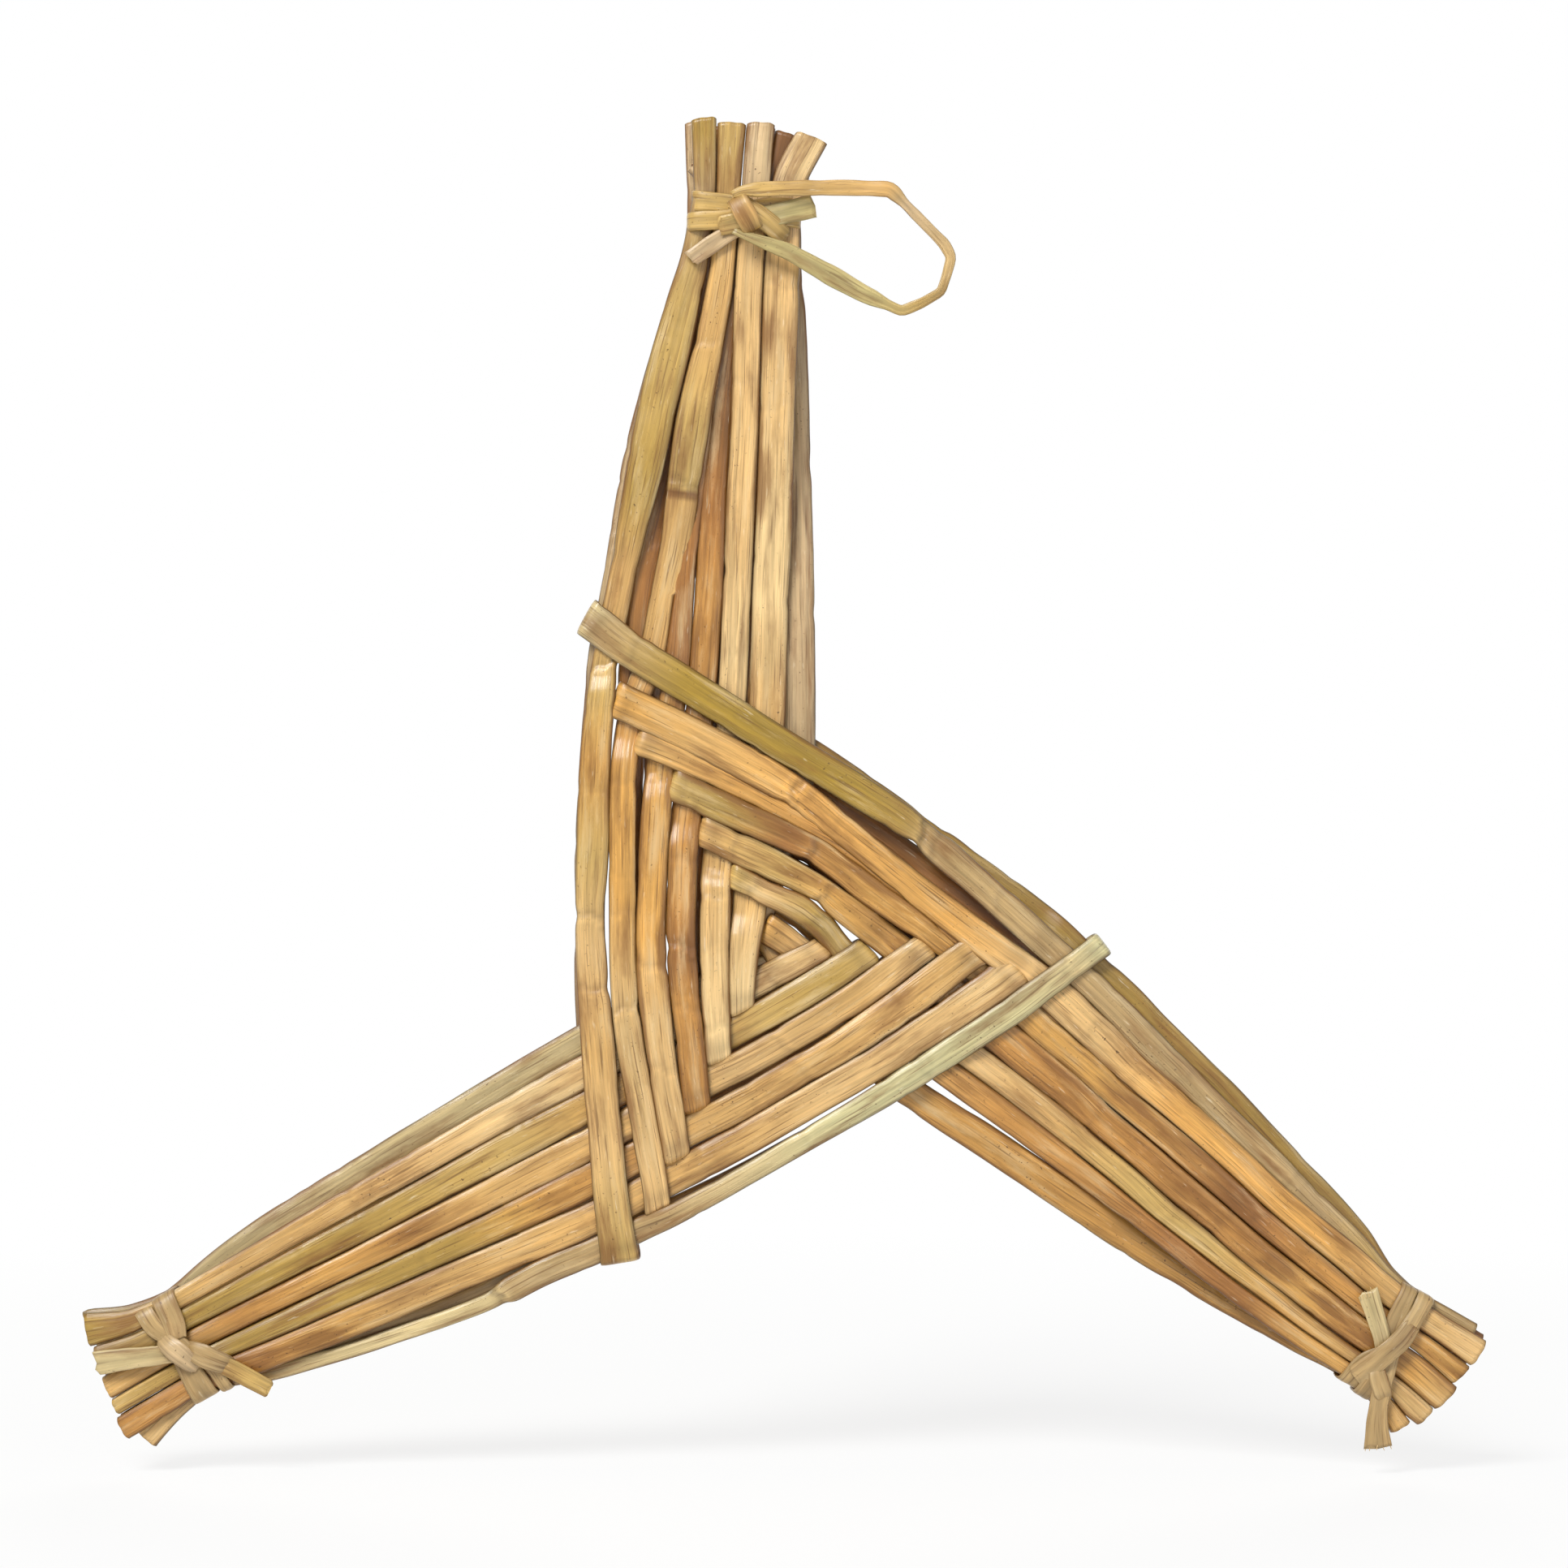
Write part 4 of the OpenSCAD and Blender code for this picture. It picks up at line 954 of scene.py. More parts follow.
def rush_material():
    """Dried rush, pressed flat whole: fibres about half a millimetre apart under a waxy skin."""
    return stem_material("dried rush pressed flat", fibre_mm=0.5, rough=0.29, relief_mm=0.1)


def strip_material():
    """Split rush, a single thin skin: coarser, straighter fibres and a duller face."""
    return stem_material("split rush strip", fibre_mm=0.6, rough=0.34, relief_mm=0.12)


# Each tie's turns, as (quarter, v, u, lift, width): quarter 0 is across the front at v, 1 the outer edge,
# 2 the back, 3 the inner edge, 4 the front again. Lift is how far the strip stands off the rushes.
TIE_TURNS = (
    ((0, 5, 161.2, 0.5, 4.2), (0, 12, 162.6, 0.5, 4.4), (1, 0, 163.3, 0.45, 4.5), (2, 0, 162.2, 0.45, 4.6),
     (3, 0, 161.2, 0.45, 4.4), (4, -2, 161.6, 0.6, 4.4), (4, 4, 160.8, 1.2, 4.2), (4, 10, 158.8, 1.3, 4.2),
     (5, 0, 158.5, 1.5, 4.2), (6, 0, 158.6, 1.5, 4.2), (7, 0, 158.8, 1.5, 4.0), (8, -1, 159.2, 1.7, 3.8),
     (8, 5, 158.2, 2.2, 3.4)),
    ((0, -7, 156.6, 0.5, 3.6), (0, 0, 155.3, 0.5, 3.9), (1, 0, 154.6, 0.45, 4.0), (2, 0, 153.8, 0.45, 4.8),
     (3, 0, 153.5, 0.45, 6.0), (4, -14, 154.2, 0.7, 5.6), (4, -8, 156.6, 1.3, 4.4),
     (4, -2, 158.4, 1.1, 3.9), (4, 4, 158.8, 0.7, 3.9), (5, 0, 158.8, 0.55, 4.0), (6, 0, 158.4, 0.6, 4.2),
     (7, 0, 157.0, 1.3, 3.8), (8, -14, 157.4, 1.4, 3.6), (8, -9, 158.4, 1.2, 3.4)),
    ((0, 9, 152.6, 0.5, 4.2), (0, 15, 152.7, 0.5, 5.2), (1, 0, 152.7, 0.45, 6.4), (2, 0, 153.4, 0.45, 5.0),
     (3, 0, 155.2, 0.45, 4.6), (4, 1, 154.8, 0.7, 4.4), (4, 6, 152.6, 1.3, 4.0), (4, 11, 150.6, 1.7, 3.6),
     (4, 18, 147.9, 1.2, 2.8), (5, 0, 147.6, 1.1, 2.8), (6, 0, 148.6, 0.9, 4.2), (7, 0, 149.7, 0.9, 5.8),
     (8, 1, 150.2, 1.1, 5.2), (8, 7, 151.4, 1.8, 4.2)),
)
# The bands of each knot and its two loose tails, as (u, v, height over the rushes, width) along them, and the
# colour's name
TIE_TAILS = (
    (((163.0, 8.0, 1.2, 4.0), (161.6, 5.6, 2.6, 4.4), (158.8, 1.6, 3.0, 4.6), (156.4, -1.4, 2.3, 4.3),
      (155.2, -3.0, 0.9, 3.8), "olive"),
     ((158.2, 4.5, 0.9, 3.4), (156.4, 8.2, 1.0, 3.6), (153.6, 12.6, 1.2, 3.9), (150.4, 17.2, 1.3, 3.9),
      "oat"),
     ((157.4, 11.0, 1.9, 4.2), (158.8, 4.0, 2.2, 4.6), (160.2, -3.0, 2.3, 4.9), (161.6, -9.1, 2.0, 4.8),
      "willow")),
    (((159.0, 0.5, 0.9, 3.8), (158.4, -3.0, 2.0, 4.4), (157.0, -7.0, 2.7, 4.6), (155.6, -11.0, 2.2, 4.8),
      (154.2, -15.0, 0.9, 5.4), "sage"),
     ((156.2, -10.6, 1.5, 3.2), (158.4, -13.2, 2.5, 4.0), (160.4, -15.0, 2.3, 4.0),
      (161.8, -16.2, 0.9, 3.2), "sage"),
     ((156.9, -7.6, 1.0, 3.6), (154.8, -5.2, 1.3, 3.8), (151.0, -1.6, 1.5, 4.2), (147.0, 2.0, 1.5, 4.8),
      "reed"),
     ((157.8, -5.0, 1.1, 3.4), (159.4, -12.4, 1.5, 3.8), (162.2, -20.2, 1.6, 4.6), (165.6, -25.8, 1.2, 6.2),
      "sage")),
    (((154.4, 5.2, 0.9, 3.4), (153.6, 7.2, 2.6, 4.2), (152.4, 10.0, 3.3, 4.6), (151.6, 12.6, 2.4, 4.2),
      (151.0, 14.6, 0.9, 3.4), "oat"),
     ((151.0, 9.6, 1.0, 3.2), (149.4, 11.4, 2.5, 4.4), (147.4, 14.0, 3.2, 5.0), (145.6, 16.4, 2.4, 4.6),
      (144.6, 17.8, 0.9, 3.6), "sage"),
     ((147.8, 14.6, 1.4, 3.8), (145.0, 17.8, 1.8, 4.0), (142.6, 21.6, 1.8, 4.1), (139.8, 26.2, 1.6, 4.1),
      "olive"),
     ((152.4, 10.0, 1.0, 3.8), (156.6, 8.2, 1.4, 4.2), (162.4, 5.6, 1.7, 4.7), (169.2, 2.9, 1.4, 5.1),
      "reed")),
)
TIE_TINT = ("olive", "sage", "sage")
# Split ends that have frayed: arm, the end's (u, v, height), the way it points (u, v), its width
FRAYED = ((1, (147.6, 1.5, 1.7), (-0.72, 0.69), 4.6), (1, (165.2, -25.2, 1.2), (0.54, -0.84), 5.8))
# the neck's section is a superellipse of this power
NECK_POWER = 6
# from row to row of a tie's turns: the depth that counts, and the least
ROW_DEPTH, ROW_LEAST = 6, 2.0
# points along a wound strip and along a tail
TURN_POINTS = 320
TAIL_POINTS = 30


def wound_route(arm):
    """A tie's strip round its neck: centre line, face normals and widths.

    Round the neck a point at an angle lies on a superellipse of power 6, |v / a|^6 + |w / b|^6 = 1, whose
    half sides are the neck's own plus the lift; the normal is its gradient. Angle, u, lift and width run
    smoothly through the rows.
    """
    quarter, v, u, lift, width = np.array(TIE_TURNS[arm], float).T
    across = np.degrees(np.arctan2(NECK_DEPTH + lift, v - NECK_V[arm])) - 90 * quarter
    angle = np.where(quarter % 4 == 0, across, 90 - 90 * quarter)
    turn = np.radians(angle)
    # about how far it is from row to row, and never nothing
    far = np.hypot(NECK_HALF[arm] * np.diff(np.cos(turn)), ROW_DEPTH * np.diff(np.sin(turn))) + ROW_LEAST
    at = np.concatenate(([0], np.cumsum(far)))
    fine = np.linspace(0, at[-1], TURN_POINTS)
    angle, u, lift, width = (smooth_through(fine, at, row) for row in (angle, u, lift, width))
    c, s = np.cos(np.radians(angle)), np.sin(np.radians(angle))
    hv, hw = NECK_HALF[arm] + lift, NECK_DEPTH + lift
    r = (np.abs(c / hv) ** NECK_POWER + np.abs(s / hw) ** NECK_POWER) ** (-1 / NECK_POWER)
    v, w = r * c, r * s
    slope_v = signed_power(v / hv, NECK_POWER - 1) / hv
    slope_w = signed_power(w / hw, NECK_POWER - 1) / hw
    normal = rows_unit(np.stack((0 * v, slope_v, slope_w), -1))
    return np.stack((u, NECK_V[arm] + v, w), -1), normal, width


def face_up(path):
    """Face normals of a strip that lies along a path and looks to the front as far as it can."""
    along = directions(path)
    return rows_unit(TO_FRONT - along * (along @ TO_FRONT)[:, None])


def tail_route(rows):
    """A loose tail: a smooth line through its rows of (u, v, height, width)."""
    rows = np.array(rows, float)
    at = run_along(rows[:, :2])
    fine = np.linspace(0, at[-1], TAIL_POINTS)
    u, v, high, width = (smooth_through(fine, at, rows[:, k]) for k in range(4))
    return np.stack((u, v, NECK_DEPTH + high), -1), width


# A loose fibre: points, thickness, width at its root and how much of it is gone at its tip, range of lengths
FIBRE_POINTS = 9
FIBRE_THICK = 0.22
FIBRE_WIDE, FIBRE_TAPER = 0.36, 0.24
FIBRE_LONG = (0.9, 2.1)
# fibres fill this share of the end, start this far inside it, and lean out, aside and to the front
FIBRE_SHARE = 0.9
FIBRE_ROOT = 0.4
FIBRE_FAN, FIBRE_ASIDE, FIBRE_UP = 0.3, 0.25, (-0.2, 0.35)


def frayed_fibres(end, way, width, palette, seed, count=7):
    """Loose fibres at a split end: thin tapering tubes along way * t + lean * t^2, which fan out and curl."""
    rng = np.random.default_rng(seed)
    way = np.array([way[0], way[1], 0.0])
    cross = np.array([-way[1], way[0], 0.0])
    t = np.linspace(0, 1, FIBRE_POINTS)[:, None]
    wide = FIBRE_WIDE - FIBRE_TAPER * t[:, 0]
    tint = ((0, "bone"), (1, "bone"))
    tubes = []
    for place in np.linspace(-0.5, 0.5, count):
        start = np.array(end) + NECK_DEPTH * TO_FRONT + cross * place * width * FIBRE_SHARE - FIBRE_ROOT * way
        aside = cross * (FIBRE_FAN * place + rng.uniform(-FIBRE_ASIDE, FIBRE_ASIDE))
        lean = aside + TO_FRONT * rng.uniform(*FIBRE_UP)
        path = start + (way * t + lean * t**2) * rng.uniform(*FIBRE_LONG)
        p, uv, colours, stain = strip_surface(path, face_up(path), wide, FIBRE_THICK, seed, tint, palette,
                                              sides=6, wrinkle=0.0)
        tubes.append((p, uv, colours, 0.0 * stain))
    return tubes


# How a strip is uneven along itself, each as size, longest wave and shortest wave in mm: its edges and its
# fold line, by a share of the half width, its lightness, and its wrinkles and tilt, in wrinkle depths
STRIP_EDGE = (0.05, 22, 5)
STRIP_FOLD = (0.15, 30, 12)
STRIP_LIGHT = (0.1, 25, 7)
STRIP_WRINKLE = (1.0, 9, 3)
STRIP_TILT = (1.5, 14, 5)
# the fold line: the range of its place across, its breadth, its depth in wrinkle depths and its painted shade
FOLD_PLACE = 0.4
FOLD_BROAD = 0.14
FOLD_DEEP = 2.2
STRIP_FOLD_PAINTED_SHADE = 0.25
# the powers that spread a section's points: x is cos^0.6 and y sin^0.7, with their signs
ACROSS_POWER, THICK_POWER = 0.6, 0.7
# torn ends: how far down the strip they reach, and how ragged they are in wrinkle depths
TORN_LENGTH = 0.8
TORN_DEEP = 3.5
# how often the wrinkles and the torn ends go up and down across the face, as factors of x
WRINKLE_ACROSS, TORN_ACROSS = 2, 5
# a strip's edges are a little darker with painted shade, and more stained, as close to them as the powers of
# x say
STRIP_EDGE_PAINTED_SHADE, STRIP_DARK_POWER = 0.14, 8
STRIP_STAIN, STRIP_EDGE_STAIN, STRIP_STAIN_POWER = 0.2, 0.3, 3
# no two strips share a stretch of the pattern: the UV starts this much further on for each seed
STRIP_APART = 500.0


def strip_surface(path, normal, width, thick, seed, stops, palette, sides=20, wrinkle=0.06):
    """A flat strip carried along a path with a given face normal.

    The section is |x|^3.3 + |y|^2.9 = 1, thin, with a fold line along the face, uneven edges, small wrinkles
    and ragged ends.
    """
    rng = np.random.default_rng(seed)
    s = run_along(path)
    along = directions(path)
    along = rows_unit(along - normal * (along * normal).sum(1, keepdims=True))
    side = np.cross(normal, along)
    t = np.linspace(0, 2 * math.pi, sides, endpoint=False)
    x = signed_power(np.cos(t), ACROSS_POWER)
    y = signed_power(np.sin(t), THICK_POWER)
    width = np.broadcast_to(width, s.shape)
    a = (width / 2 * (1 + wander(s, rng, *STRIP_EDGE)))[:, None]
    crease = rng.uniform(-FOLD_PLACE, FOLD_PLACE) + wander(s, rng, *STRIP_FOLD)
    line = bell(x[None, :] - crease[:, None], FOLD_BROAD) * (y > 0)
    uneven = wander(s, rng, *STRIP_WRINKLE)[:, None] * np.cos(WRINKLE_ACROSS * x)
    uneven = uneven + wander(s, rng, *STRIP_TILT)[:, None] * x
    lift = thick / 2 * y + wrinkle * (uneven - FOLD_DEEP * line)
    p = path[:, None, :] + side[:, None, :] * (a * x)[..., None] + normal[:, None, :] * lift[..., None]
    ends = np.exp((s - s[-1]) / TORN_LENGTH) - np.exp(-s / TORN_LENGTH)
    torn = ends[:, None] * np.sin(TORN_ACROSS * x + seed) * wrinkle * TORN_DEEP
    p = p + along[:, None, :] * torn[..., None]
    uv = tube_uv(s + STRIP_APART * seed, t, 2 * width.mean() + 2 * thick)
    # painted shade along the fold line, over a lightness that comes and goes
    light = 1 + wander(s, rng, *STRIP_LIGHT)[:, None] - STRIP_FOLD_PAINTED_SHADE * line
    # painted shade darkens the strip's edges
    shade = (1 - STRIP_EDGE_PAINTED_SHADE * np.abs(x) ** STRIP_DARK_POWER)[None, :] * light
    colours = colour_along(s / s[-1], stops, palette)[:, None, :] * shade[..., None]
    stain = STRIP_STAIN + STRIP_EDGE_STAIN * np.abs(x) ** STRIP_STAIN_POWER
    return p, uv, np.clip(colours, 0, 1), np.broadcast_to(stain, lift.shape)


class RushColours(bpy.types.PropertyGroup):
    """The palette of dried rush."""
    __annotations__ = {
        name: bpy.props.FloatVectorProperty(name=name.capitalize(), description=f"Rush colour: {name}",
                                            subtype="COLOR", size=3, default=linear(paint), min=0.0, max=1.0)
        for name, paint in PALETTE.items()}


def palette_of(scene):
    """The scene's rush colours by name, linear."""
    return {name: np.array(getattr(scene.brigid_colours, name)) for name in PALETTE}


class RushSettings(bpy.types.PropertyGroup):
    """Sizes of the pressed rushes."""
    groove: bpy.props.FloatProperty(
        name="Groove depth", description="Depth of the grooves along a pressed rush", default=0.00006,
        min=0.0, max=0.0006, unit="LENGTH", subtype="DISTANCE", precision=5)


class TieSettings(bpy.types.PropertyGroup):
    """Sizes of the ties and the hanging loop."""
    width: bpy.props.FloatProperty(
        name="Strip width", description="Width of the strip of a tie", default=0.0046,
        min=0.003, max=0.006, unit="LENGTH", subtype="DISTANCE", precision=4)
    loop_width: bpy.props.FloatProperty(
        name="Loop width", description="Width of the strip of the hanging loop", default=0.0036,
        min=0.002, max=0.005, unit="LENGTH", subtype="DISTANCE", precision=4)


class StageSettings(bpy.types.PropertyGroup):
    """Light and floor."""
    paper: bpy.props.FloatVectorProperty(
        name="Paper", description="Colour of the floor", subtype="COLOR", size=3,
        default=linear("#f4f4f2"), min=0.0, max=1.0)
    key: bpy.props.FloatProperty(
        name="Key light", description="Power of the large soft light", default=60.0, min=0.0,
        subtype="POWER", unit="POWER")


class BRIGID_OT_rushes(bpy.types.Operator):
    """Weaves the rushes of one arm"""
    bl_idname = "brigid.rushes"
    bl_label = "Rushes"
    arm: bpy.props.IntProperty(name="Arm", description="0 top, 1 right, 2 left", default=0, min=0, max=2)

    def execute(self, context):
        groove = context.scene.brigid_rushes.groove / MM
        palette = palette_of(context.scene)
        for lane in LANES[self.arm]:
            p, uv, colours, stain = stem_surface(lane, groove, palette)
            node = f"{ARMS[self.arm]}_rush_{lane.number}"
            piece = add_piece(f"{node}_stem", [(to_world(self.arm, p), uv, colours, stain)], rush_material())
            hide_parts(node)
            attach(piece, "cross")
        return {"FINISHED"}


# Seeds of the strips: ties by arm, bands and tails by arm and number, frayed ends by number, loop and knot
TIE_SEED = 31
TAIL_SEED, TAILS_APART = 81, 5
FRAYED_SEED = 120
LOOP_SEED = 41
KNOT_SEED = 51
# The share of a band or tail where its own colour starts
OWN_TINT_FROM = 0.4
# Depth of the wrinkles, in mm: bands and tails are bent most
TAIL_WRINKLE = 0.13
KNOT_WRINKLE = 0.1
LOOP_WRINKLE = 0.09


class BRIGID_OT_ties(bpy.types.Operator):
    """Winds the strip round each arm's end and ties it in front"""
    bl_idname = "brigid.ties"
    bl_label = "Ties"

    def execute(self, context):
        palette = palette_of(context.scene)
        share = context.scene.brigid_ties.width / MM / TIE_WIDTH
        for arm, name in enumerate(ARMS):
            tint = TIE_TINT[arm]
            path, normal, width = wound_route(arm)
            plain = ((0, tint), (1, tint))
            tubes = [strip_surface(path, normal, width * share, STRIP_T, TIE_SEED + arm, plain, palette)]
            for k, (*rows, paint) in enumerate(TIE_TAILS[arm]):
                path, width = tail_route(rows)
                seed = TAIL_SEED + TAILS_APART * arm + k
                stops = ((0, tint), (OWN_TINT_FROM, paint), (1, paint))
                tubes.append(strip_surface(path, face_up(path), width * share, STRIP_T, seed, stops, palette,
                                           wrinkle=TAIL_WRINKLE))
            for k, (on, end, way, wide) in enumerate(FRAYED):
                if on == arm:
                    tubes += frayed_fibres(end, way, wide, palette, FRAYED_SEED + k)
            tubes = [(to_world(arm, tube[0]), *tube[1:]) for tube in tubes]
            piece = add_piece(f"{name}_tie_strip", tubes, strip_material())
            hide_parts(f"{name}_tie")
            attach(piece, "cross")
        return {"FINISHED"}


# The knot's x and z, the loop's w and thickness, and the radius of the loop's eye round the knot, in mm
KNOT = (-5.2, 160.0)
LOOP_W = 8.175
LOOP_T = 0.9
EYE_R = 4.75
# The loop's route: the angles of its eye's two ends, and its legs between them, x and z from the knot
LOOP_EYE_START = (128, 110, 92)
LOOP_EYE_END = (250, 236)
LOOP_LEGS = ((4, 5), (11, 5.2), (21, 5.3), (30.6, 5), (31.6, 4.2), (36.5, -0.8), (42.4, -6.8), (43.9, -9.6),
             (42.9, -13.4), (41.7, -17), (37.6, -19.4), (33.2, -21.2), (25, -17.4), (17.5, -13.2), (9, -8.4))
# The strip's roll in degrees, its width as a share of the loop's, and its colour, by share of its length
LOOP_ROLL = ((0, 0.2, 0.36, 0.38, 0.48, 0.55, 0.6, 0.66, 0.8, 1), (0, 6, 10, -14, -24, 12, 24, 10, -6, 0))
LOOP_WIDE = ((0, 0.05, 0.32, 0.345, 0.5, 0.53, 0.6, 0.67, 0.7, 0.8, 0.9, 1),
             (0.5, 0.95, 0.95, 0.66, 0.66, 0.56, 0.66, 0.66, 0.95, 1.28, 0.95, 0.4))
LOOP_TINT = ((0, "olive"), (0.3, "sand"), (0.33, "sage"), (0.35, "oat"), (0.6, "olive"), (0.7, "willow"),
             (1, "willow"))


def loop_route(step=0.8):
    """The loop's centre line in (x, z) from the knot: straight runs between its points, corners eased."""
    angles = np.radians(LOOP_EYE_START + LOOP_EYE_END)
    eye = EYE_R * np.stack((np.cos(angles), np.sin(angles)), -1)
    starts = len(LOOP_EYE_START)
    points = np.concatenate((eye[:starts], LOOP_LEGS, eye[starts:]))
    s = run_along(points)
    at = np.linspace(0, s[-1], int(s[-1] / step))
    xz = np.stack((np.interp(at, s, points[:, 0]), np.interp(at, s, points[:, 1])), -1)
    xz[1:-1] = (xz[:-2] + 2 * xz[1:-1] + xz[2:]) / 4
    return xz


class BRIGID_OT_loop(bpy.types.Operator):
    """Bends the hanging loop"""
    bl_idname = "brigid.loop"
    bl_label = "Hanging loop"

    def execute(self, context):
        width = context.scene.brigid_ties.loop_width / MM
        xz = loop_route()
        # in the top arm's own frame u is z and v is minus x
        path = np.stack((xz[:, 1] + KNOT[1], -xz[:, 0] - KNOT[0], np.full(len(xz), LOOP_W)), -1)
        share = np.linspace(0, 1, len(xz))
        roll = np.radians(np.interp(share, *LOOP_ROLL))[:, None]
        normal = TO_FRONT * np.cos(roll) + np.cross(TO_FRONT, directions(path)) * np.sin(roll)
        wide = width * np.interp(share, *LOOP_WIDE)
        p, uv, colours, stain = strip_surface(path, normal, wide, LOOP_T, LOOP_SEED, LOOP_TINT,
                                              palette_of(context.scene), wrinkle=LOOP_WRINKLE)
        piece = add_piece("hanging_loop_strip", [(to_world(0, p), uv, colours, stain)], strip_material())
        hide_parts("hanging_loop")
        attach(piece, "loop")
        return {"FINISHED"}


# The knot's arch in the top arm's frame: its points, its middle off the knot's place, its half run in u and
# v, its foot and its rise
KNOT_POINTS = 40
KNOT_OFF = (-0.3, 0.4)
KNOT_RUN = (3.4, 1.8)
KNOT_FOOT = 7.6
KNOT_RISE = 2.0
KNOT_TINT = ((0, "olive"), (0.5, "sand"), (1, "olive"))


class BRIGID_OT_knot(bpy.types.Operator):
    """Wraps the strip of the knot through the loop"""
    bl_idname = "brigid.knot"
    bl_label = "Knot"

    def execute(self, context):
        # an arch through the loop's eye: straight across in u and v, its height half an ellipse
        t = np.linspace(-1, 1, KNOT_POINTS)
        u = KNOT[1] - KNOT_RUN[0] * t + KNOT_OFF[0]
        v = -KNOT[0] - KNOT_RUN[1] * t + KNOT_OFF[1]
        path = np.stack((u, v, KNOT_FOOT + KNOT_RISE * np.sqrt(np.clip(1 - t**2, 0, 1))), -1)
        p, uv, colours, stain = strip_surface(path, face_up(path), TIE_WIDTH, STRIP_T, KNOT_SEED, KNOT_TINT,
                                              palette_of(context.scene), wrinkle=KNOT_WRINKLE)
        piece = add_piece("top_knot_wrap", [(to_world(0, p), uv, colours, stain)], strip_material())
        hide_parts("top_knot")
        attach(piece, "cross")
        return {"FINISHED"}


# The stage, in metres: each lamp's name, place, size, share of the key's power, and whether it makes shine
LAMPS = (("key_softbox", (-0.85, -1.55, 1.6), 0.95, 1.0, True),
         ("fill_softbox", (0.9, -1.25, 0.3), 1.2, 0.08, True),
         ("back_softbox", (0.35, 1.9, 0.35), 1.2, 0.6, False))
LAMP_AIM = (0.0, 0.0, 0.03)
WORLD_LIGHT = 0.06
# the floor: half its side, the points along it, and how far it lies under the lowest tip
FLOOR_HALF = 4
FLOOR_POINTS = 5
FLOOR_DROP = 0.006
# it glows white where it is seen, by the least share near the cross and wholly from further out on
FADE_NEAR, FADE_FAR, FADE_LEAST = 0.1, 0.55, 0.8
# the photograph: its side in pixels, a pixel's size on the cross, and the pixel at the weave's centre
PHOTO_SIDE = 1932
PIXEL = 0.000175
CENTRE_PIXEL = (950, 1180)
# the camera's lens and sensor in mm, and y of the plane where a pixel has that size
LENS, SENSOR = 110.0, 36.0
PIXEL_PLANE = -0.009


def seen_directly(tree):
    """1 where a thing is seen, plainly, reflected or through glass, and 0 where only its light is used."""
    path = add_node(tree, "ShaderNodeLightPath").outputs
    seen = path["Is Camera Ray"]
    for ray in ("Is Glossy Ray", "Is Transmission Ray"):
        seen = add_node(tree, "ShaderNodeMath", {0: seen, 1: path[ray]}, operation="MAXIMUM").outputs[0]
    return seen


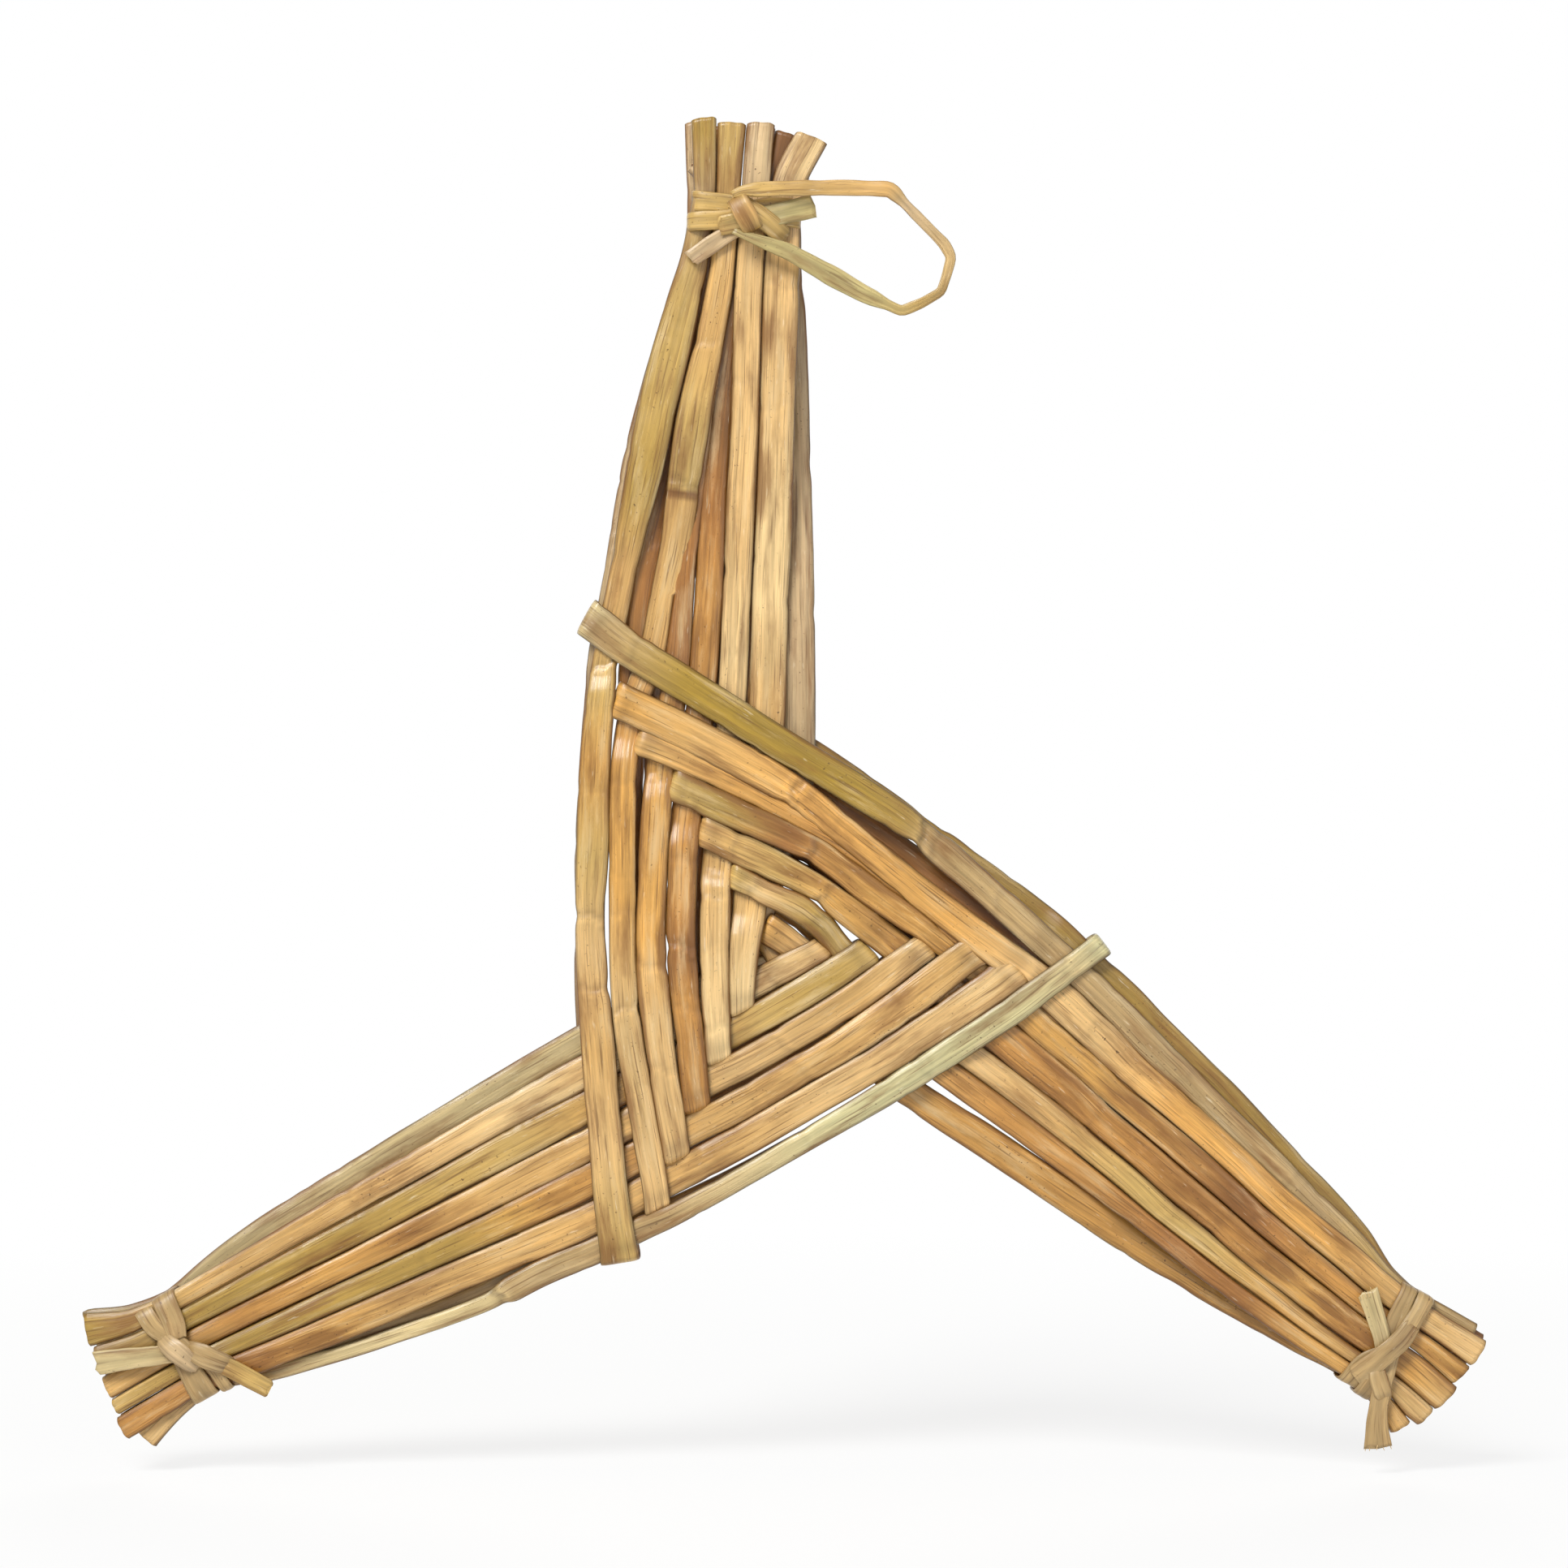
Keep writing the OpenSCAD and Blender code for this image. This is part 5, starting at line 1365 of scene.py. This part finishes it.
class BRIGID_OT_stage(bpy.types.Operator):
    """Sets the floor, the lights and the camera"""
    bl_idname = "brigid.stage"
    bl_label = "Stage"

    def execute(self, context):
        scene = context.scene
        settings = scene.brigid_stage
        scene.view_settings.view_transform = "Standard"
        self.floor(scene, settings)
        self.world(scene)
        for name, place, size, share, shine in LAMPS:
            self.lamp(scene, name, place, size, settings.key * share, shine)
        self.camera(scene)
        return {"FINISHED"}

    def floor(self, scene, settings):
        """A wide sheet of paper just under the lowest tips: a grid in x and y."""
        low = CAD_BOX[0][2] - FLOOR_DROP
        n = FLOOR_POINTS
        grid = np.linspace(-FLOOR_HALF, FLOOR_HALF, n)
        x, y = np.meshgrid(grid, grid, indexing="ij")
        verts = np.stack((x, y, np.full_like(x, low)), -1).reshape(-1, 3)
        k, j = np.meshgrid(np.arange(n - 1), np.arange(n - 1), indexing="ij")
        faces = np.stack((k * n + j, (k + 1) * n + j, (k + 1) * n + j + 1, k * n + j + 1), -1).reshape(-1, 4)
        mesh = bpy.data.meshes.new("paper_floor")
        mesh.from_pydata(verts.tolist(), [], faces.tolist())
        material, tree, shader = new_material("white seamless paper")
        shader.inputs["Base Color"].default_value = (*settings.paper, 1)
        shader.inputs["Roughness"].default_value = 0.9
        glow = add_node(tree, "ShaderNodeEmission", {"Color": (1, 1, 1, 1), "Strength": 1.0})
        place = add_node(tree, "ShaderNodeTexCoord").outputs["Object"]
        far = add_node(tree, "ShaderNodeVectorMath", {0: place, 1: (0, 0, low)}, operation="DISTANCE")
        fade = add_node(tree, "ShaderNodeMapRange", {"Value": far.outputs["Value"], 1: FADE_NEAR, 2: FADE_FAR,
                                                     3: FADE_LEAST, 4: 1.0})
        both = add_node(tree, "ShaderNodeMixShader", {0: fade.outputs[0], 1: shader.outputs[0],
                                                      2: glow.outputs[0]})
        seen = add_node(tree, "ShaderNodeMixShader", {0: seen_directly(tree), 1: shader.outputs[0],
                                                      2: both.outputs[0]})
        output = next(node for node in tree.nodes if node.type == "OUTPUT_MATERIAL")
        tree.links.new(seen.outputs[0], output.inputs["Surface"])
        mesh.materials.append(material)
        floor = bpy.data.objects.new("paper_floor", mesh)
        scene.collection.objects.link(floor)

    def world(self, scene):
        """Even soft light, and plain white where the camera or a reflection sees past the floor."""
        world = bpy.data.worlds.new("white studio")
        world.use_nodes = True
        tree = world.node_tree
        tree.nodes.clear()
        seen = seen_directly(tree)
        soft = add_node(tree, "ShaderNodeBackground", {"Color": (1, 1, 1, 1), "Strength": WORLD_LIGHT})
        white = add_node(tree, "ShaderNodeBackground", {"Color": (1, 1, 1, 1), "Strength": 1.0})
        mix = add_node(tree, "ShaderNodeMixShader", {0: seen, 1: soft.outputs[0], 2: white.outputs[0]})
        add_node(tree, "ShaderNodeOutputWorld", {"Surface": mix.outputs[0]})
        scene.world = world

    def lamp(self, scene, name, place, size, power, shine):
        """A square soft light aimed at the middle of the cross, with or without highlights of its own."""
        light = bpy.data.lights.new(name, "AREA")
        light.size = size
        light.energy = power
        lamp = bpy.data.objects.new(name, light)
        lamp.location = place
        lamp.visible_glossy = shine
        x, y, z = np.array(LAMP_AIM) - np.array(place)
        lamp.rotation_euler = (math.atan2(math.hypot(x, y), -z), 0, math.atan2(y, x) - math.pi / 2)
        scene.collection.objects.link(lamp)

    def camera(self, scene):
        """Straight on, as the photograph, with the weave's centre on its own pixel."""
        data = bpy.data.cameras.new("camera")
        data.lens, data.sensor_width = LENS, SENSOR
        data.clip_end = 50.0
        camera = bpy.data.objects.new("camera", data)
        distance = PHOTO_SIDE * PIXEL * LENS / SENSOR
        middle = PHOTO_SIDE / 2
        camera.location = ((middle - CENTRE_PIXEL[0]) * PIXEL, PIXEL_PLANE - distance,
                           (CENTRE_PIXEL[1] - middle) * PIXEL)
        camera.rotation_euler = (math.pi / 2, 0, 0)
        scene.collection.objects.link(camera)
        scene.camera = camera


class BRIGID_PT_panel(bpy.types.Panel):
    """The pieces of the cross and their settings"""
    bl_idname = "BRIGID_PT_panel"
    bl_label = "Brigid cross"
    bl_space_type = "VIEW_3D"
    bl_region_type = "UI"
    bl_category = "Brigid cross"

    def draw(self, context):
        scene = context.scene
        for name in PALETTE:
            self.layout.prop(scene.brigid_colours, name)
        self.layout.prop(scene.brigid_rushes, "groove")
        for arm, name in enumerate(ARMS):
            self.layout.operator("brigid.rushes", text=f"Rushes, {name} arm").arm = arm
        self.layout.prop(scene.brigid_ties, "width")
        self.layout.operator("brigid.ties")
        self.layout.prop(scene.brigid_ties, "loop_width")
        self.layout.operator("brigid.loop")
        self.layout.operator("brigid.knot")
        self.layout.prop(scene.brigid_stage, "paper")
        self.layout.prop(scene.brigid_stage, "key")
        self.layout.operator("brigid.stage")


CLASSES = (RushColours, RushSettings, TieSettings, StageSettings, BRIGID_OT_rushes, BRIGID_OT_ties,
           BRIGID_OT_loop, BRIGID_OT_knot, BRIGID_OT_stage, BRIGID_PT_panel)


def register():
    for cls in CLASSES:
        bpy.utils.register_class(cls)
    bpy.types.Scene.brigid_colours = bpy.props.PointerProperty(type=RushColours)
    bpy.types.Scene.brigid_rushes = bpy.props.PointerProperty(type=RushSettings)
    bpy.types.Scene.brigid_ties = bpy.props.PointerProperty(type=TieSettings)
    bpy.types.Scene.brigid_stage = bpy.props.PointerProperty(type=StageSettings)


def unregister():
    del bpy.types.Scene.brigid_stage
    del bpy.types.Scene.brigid_ties
    del bpy.types.Scene.brigid_rushes
    del bpy.types.Scene.brigid_colours
    for cls in reversed(CLASSES):
        bpy.utils.unregister_class(cls)


def main():
    register()
    bpy.ops.brigid.stage()
    bpy.ops.brigid.loop()
    bpy.ops.brigid.knot()
    for arm in range(3):
        bpy.ops.brigid.rushes(arm=arm)
    bpy.ops.brigid.ties()


if __name__ == "__main__":
    main()
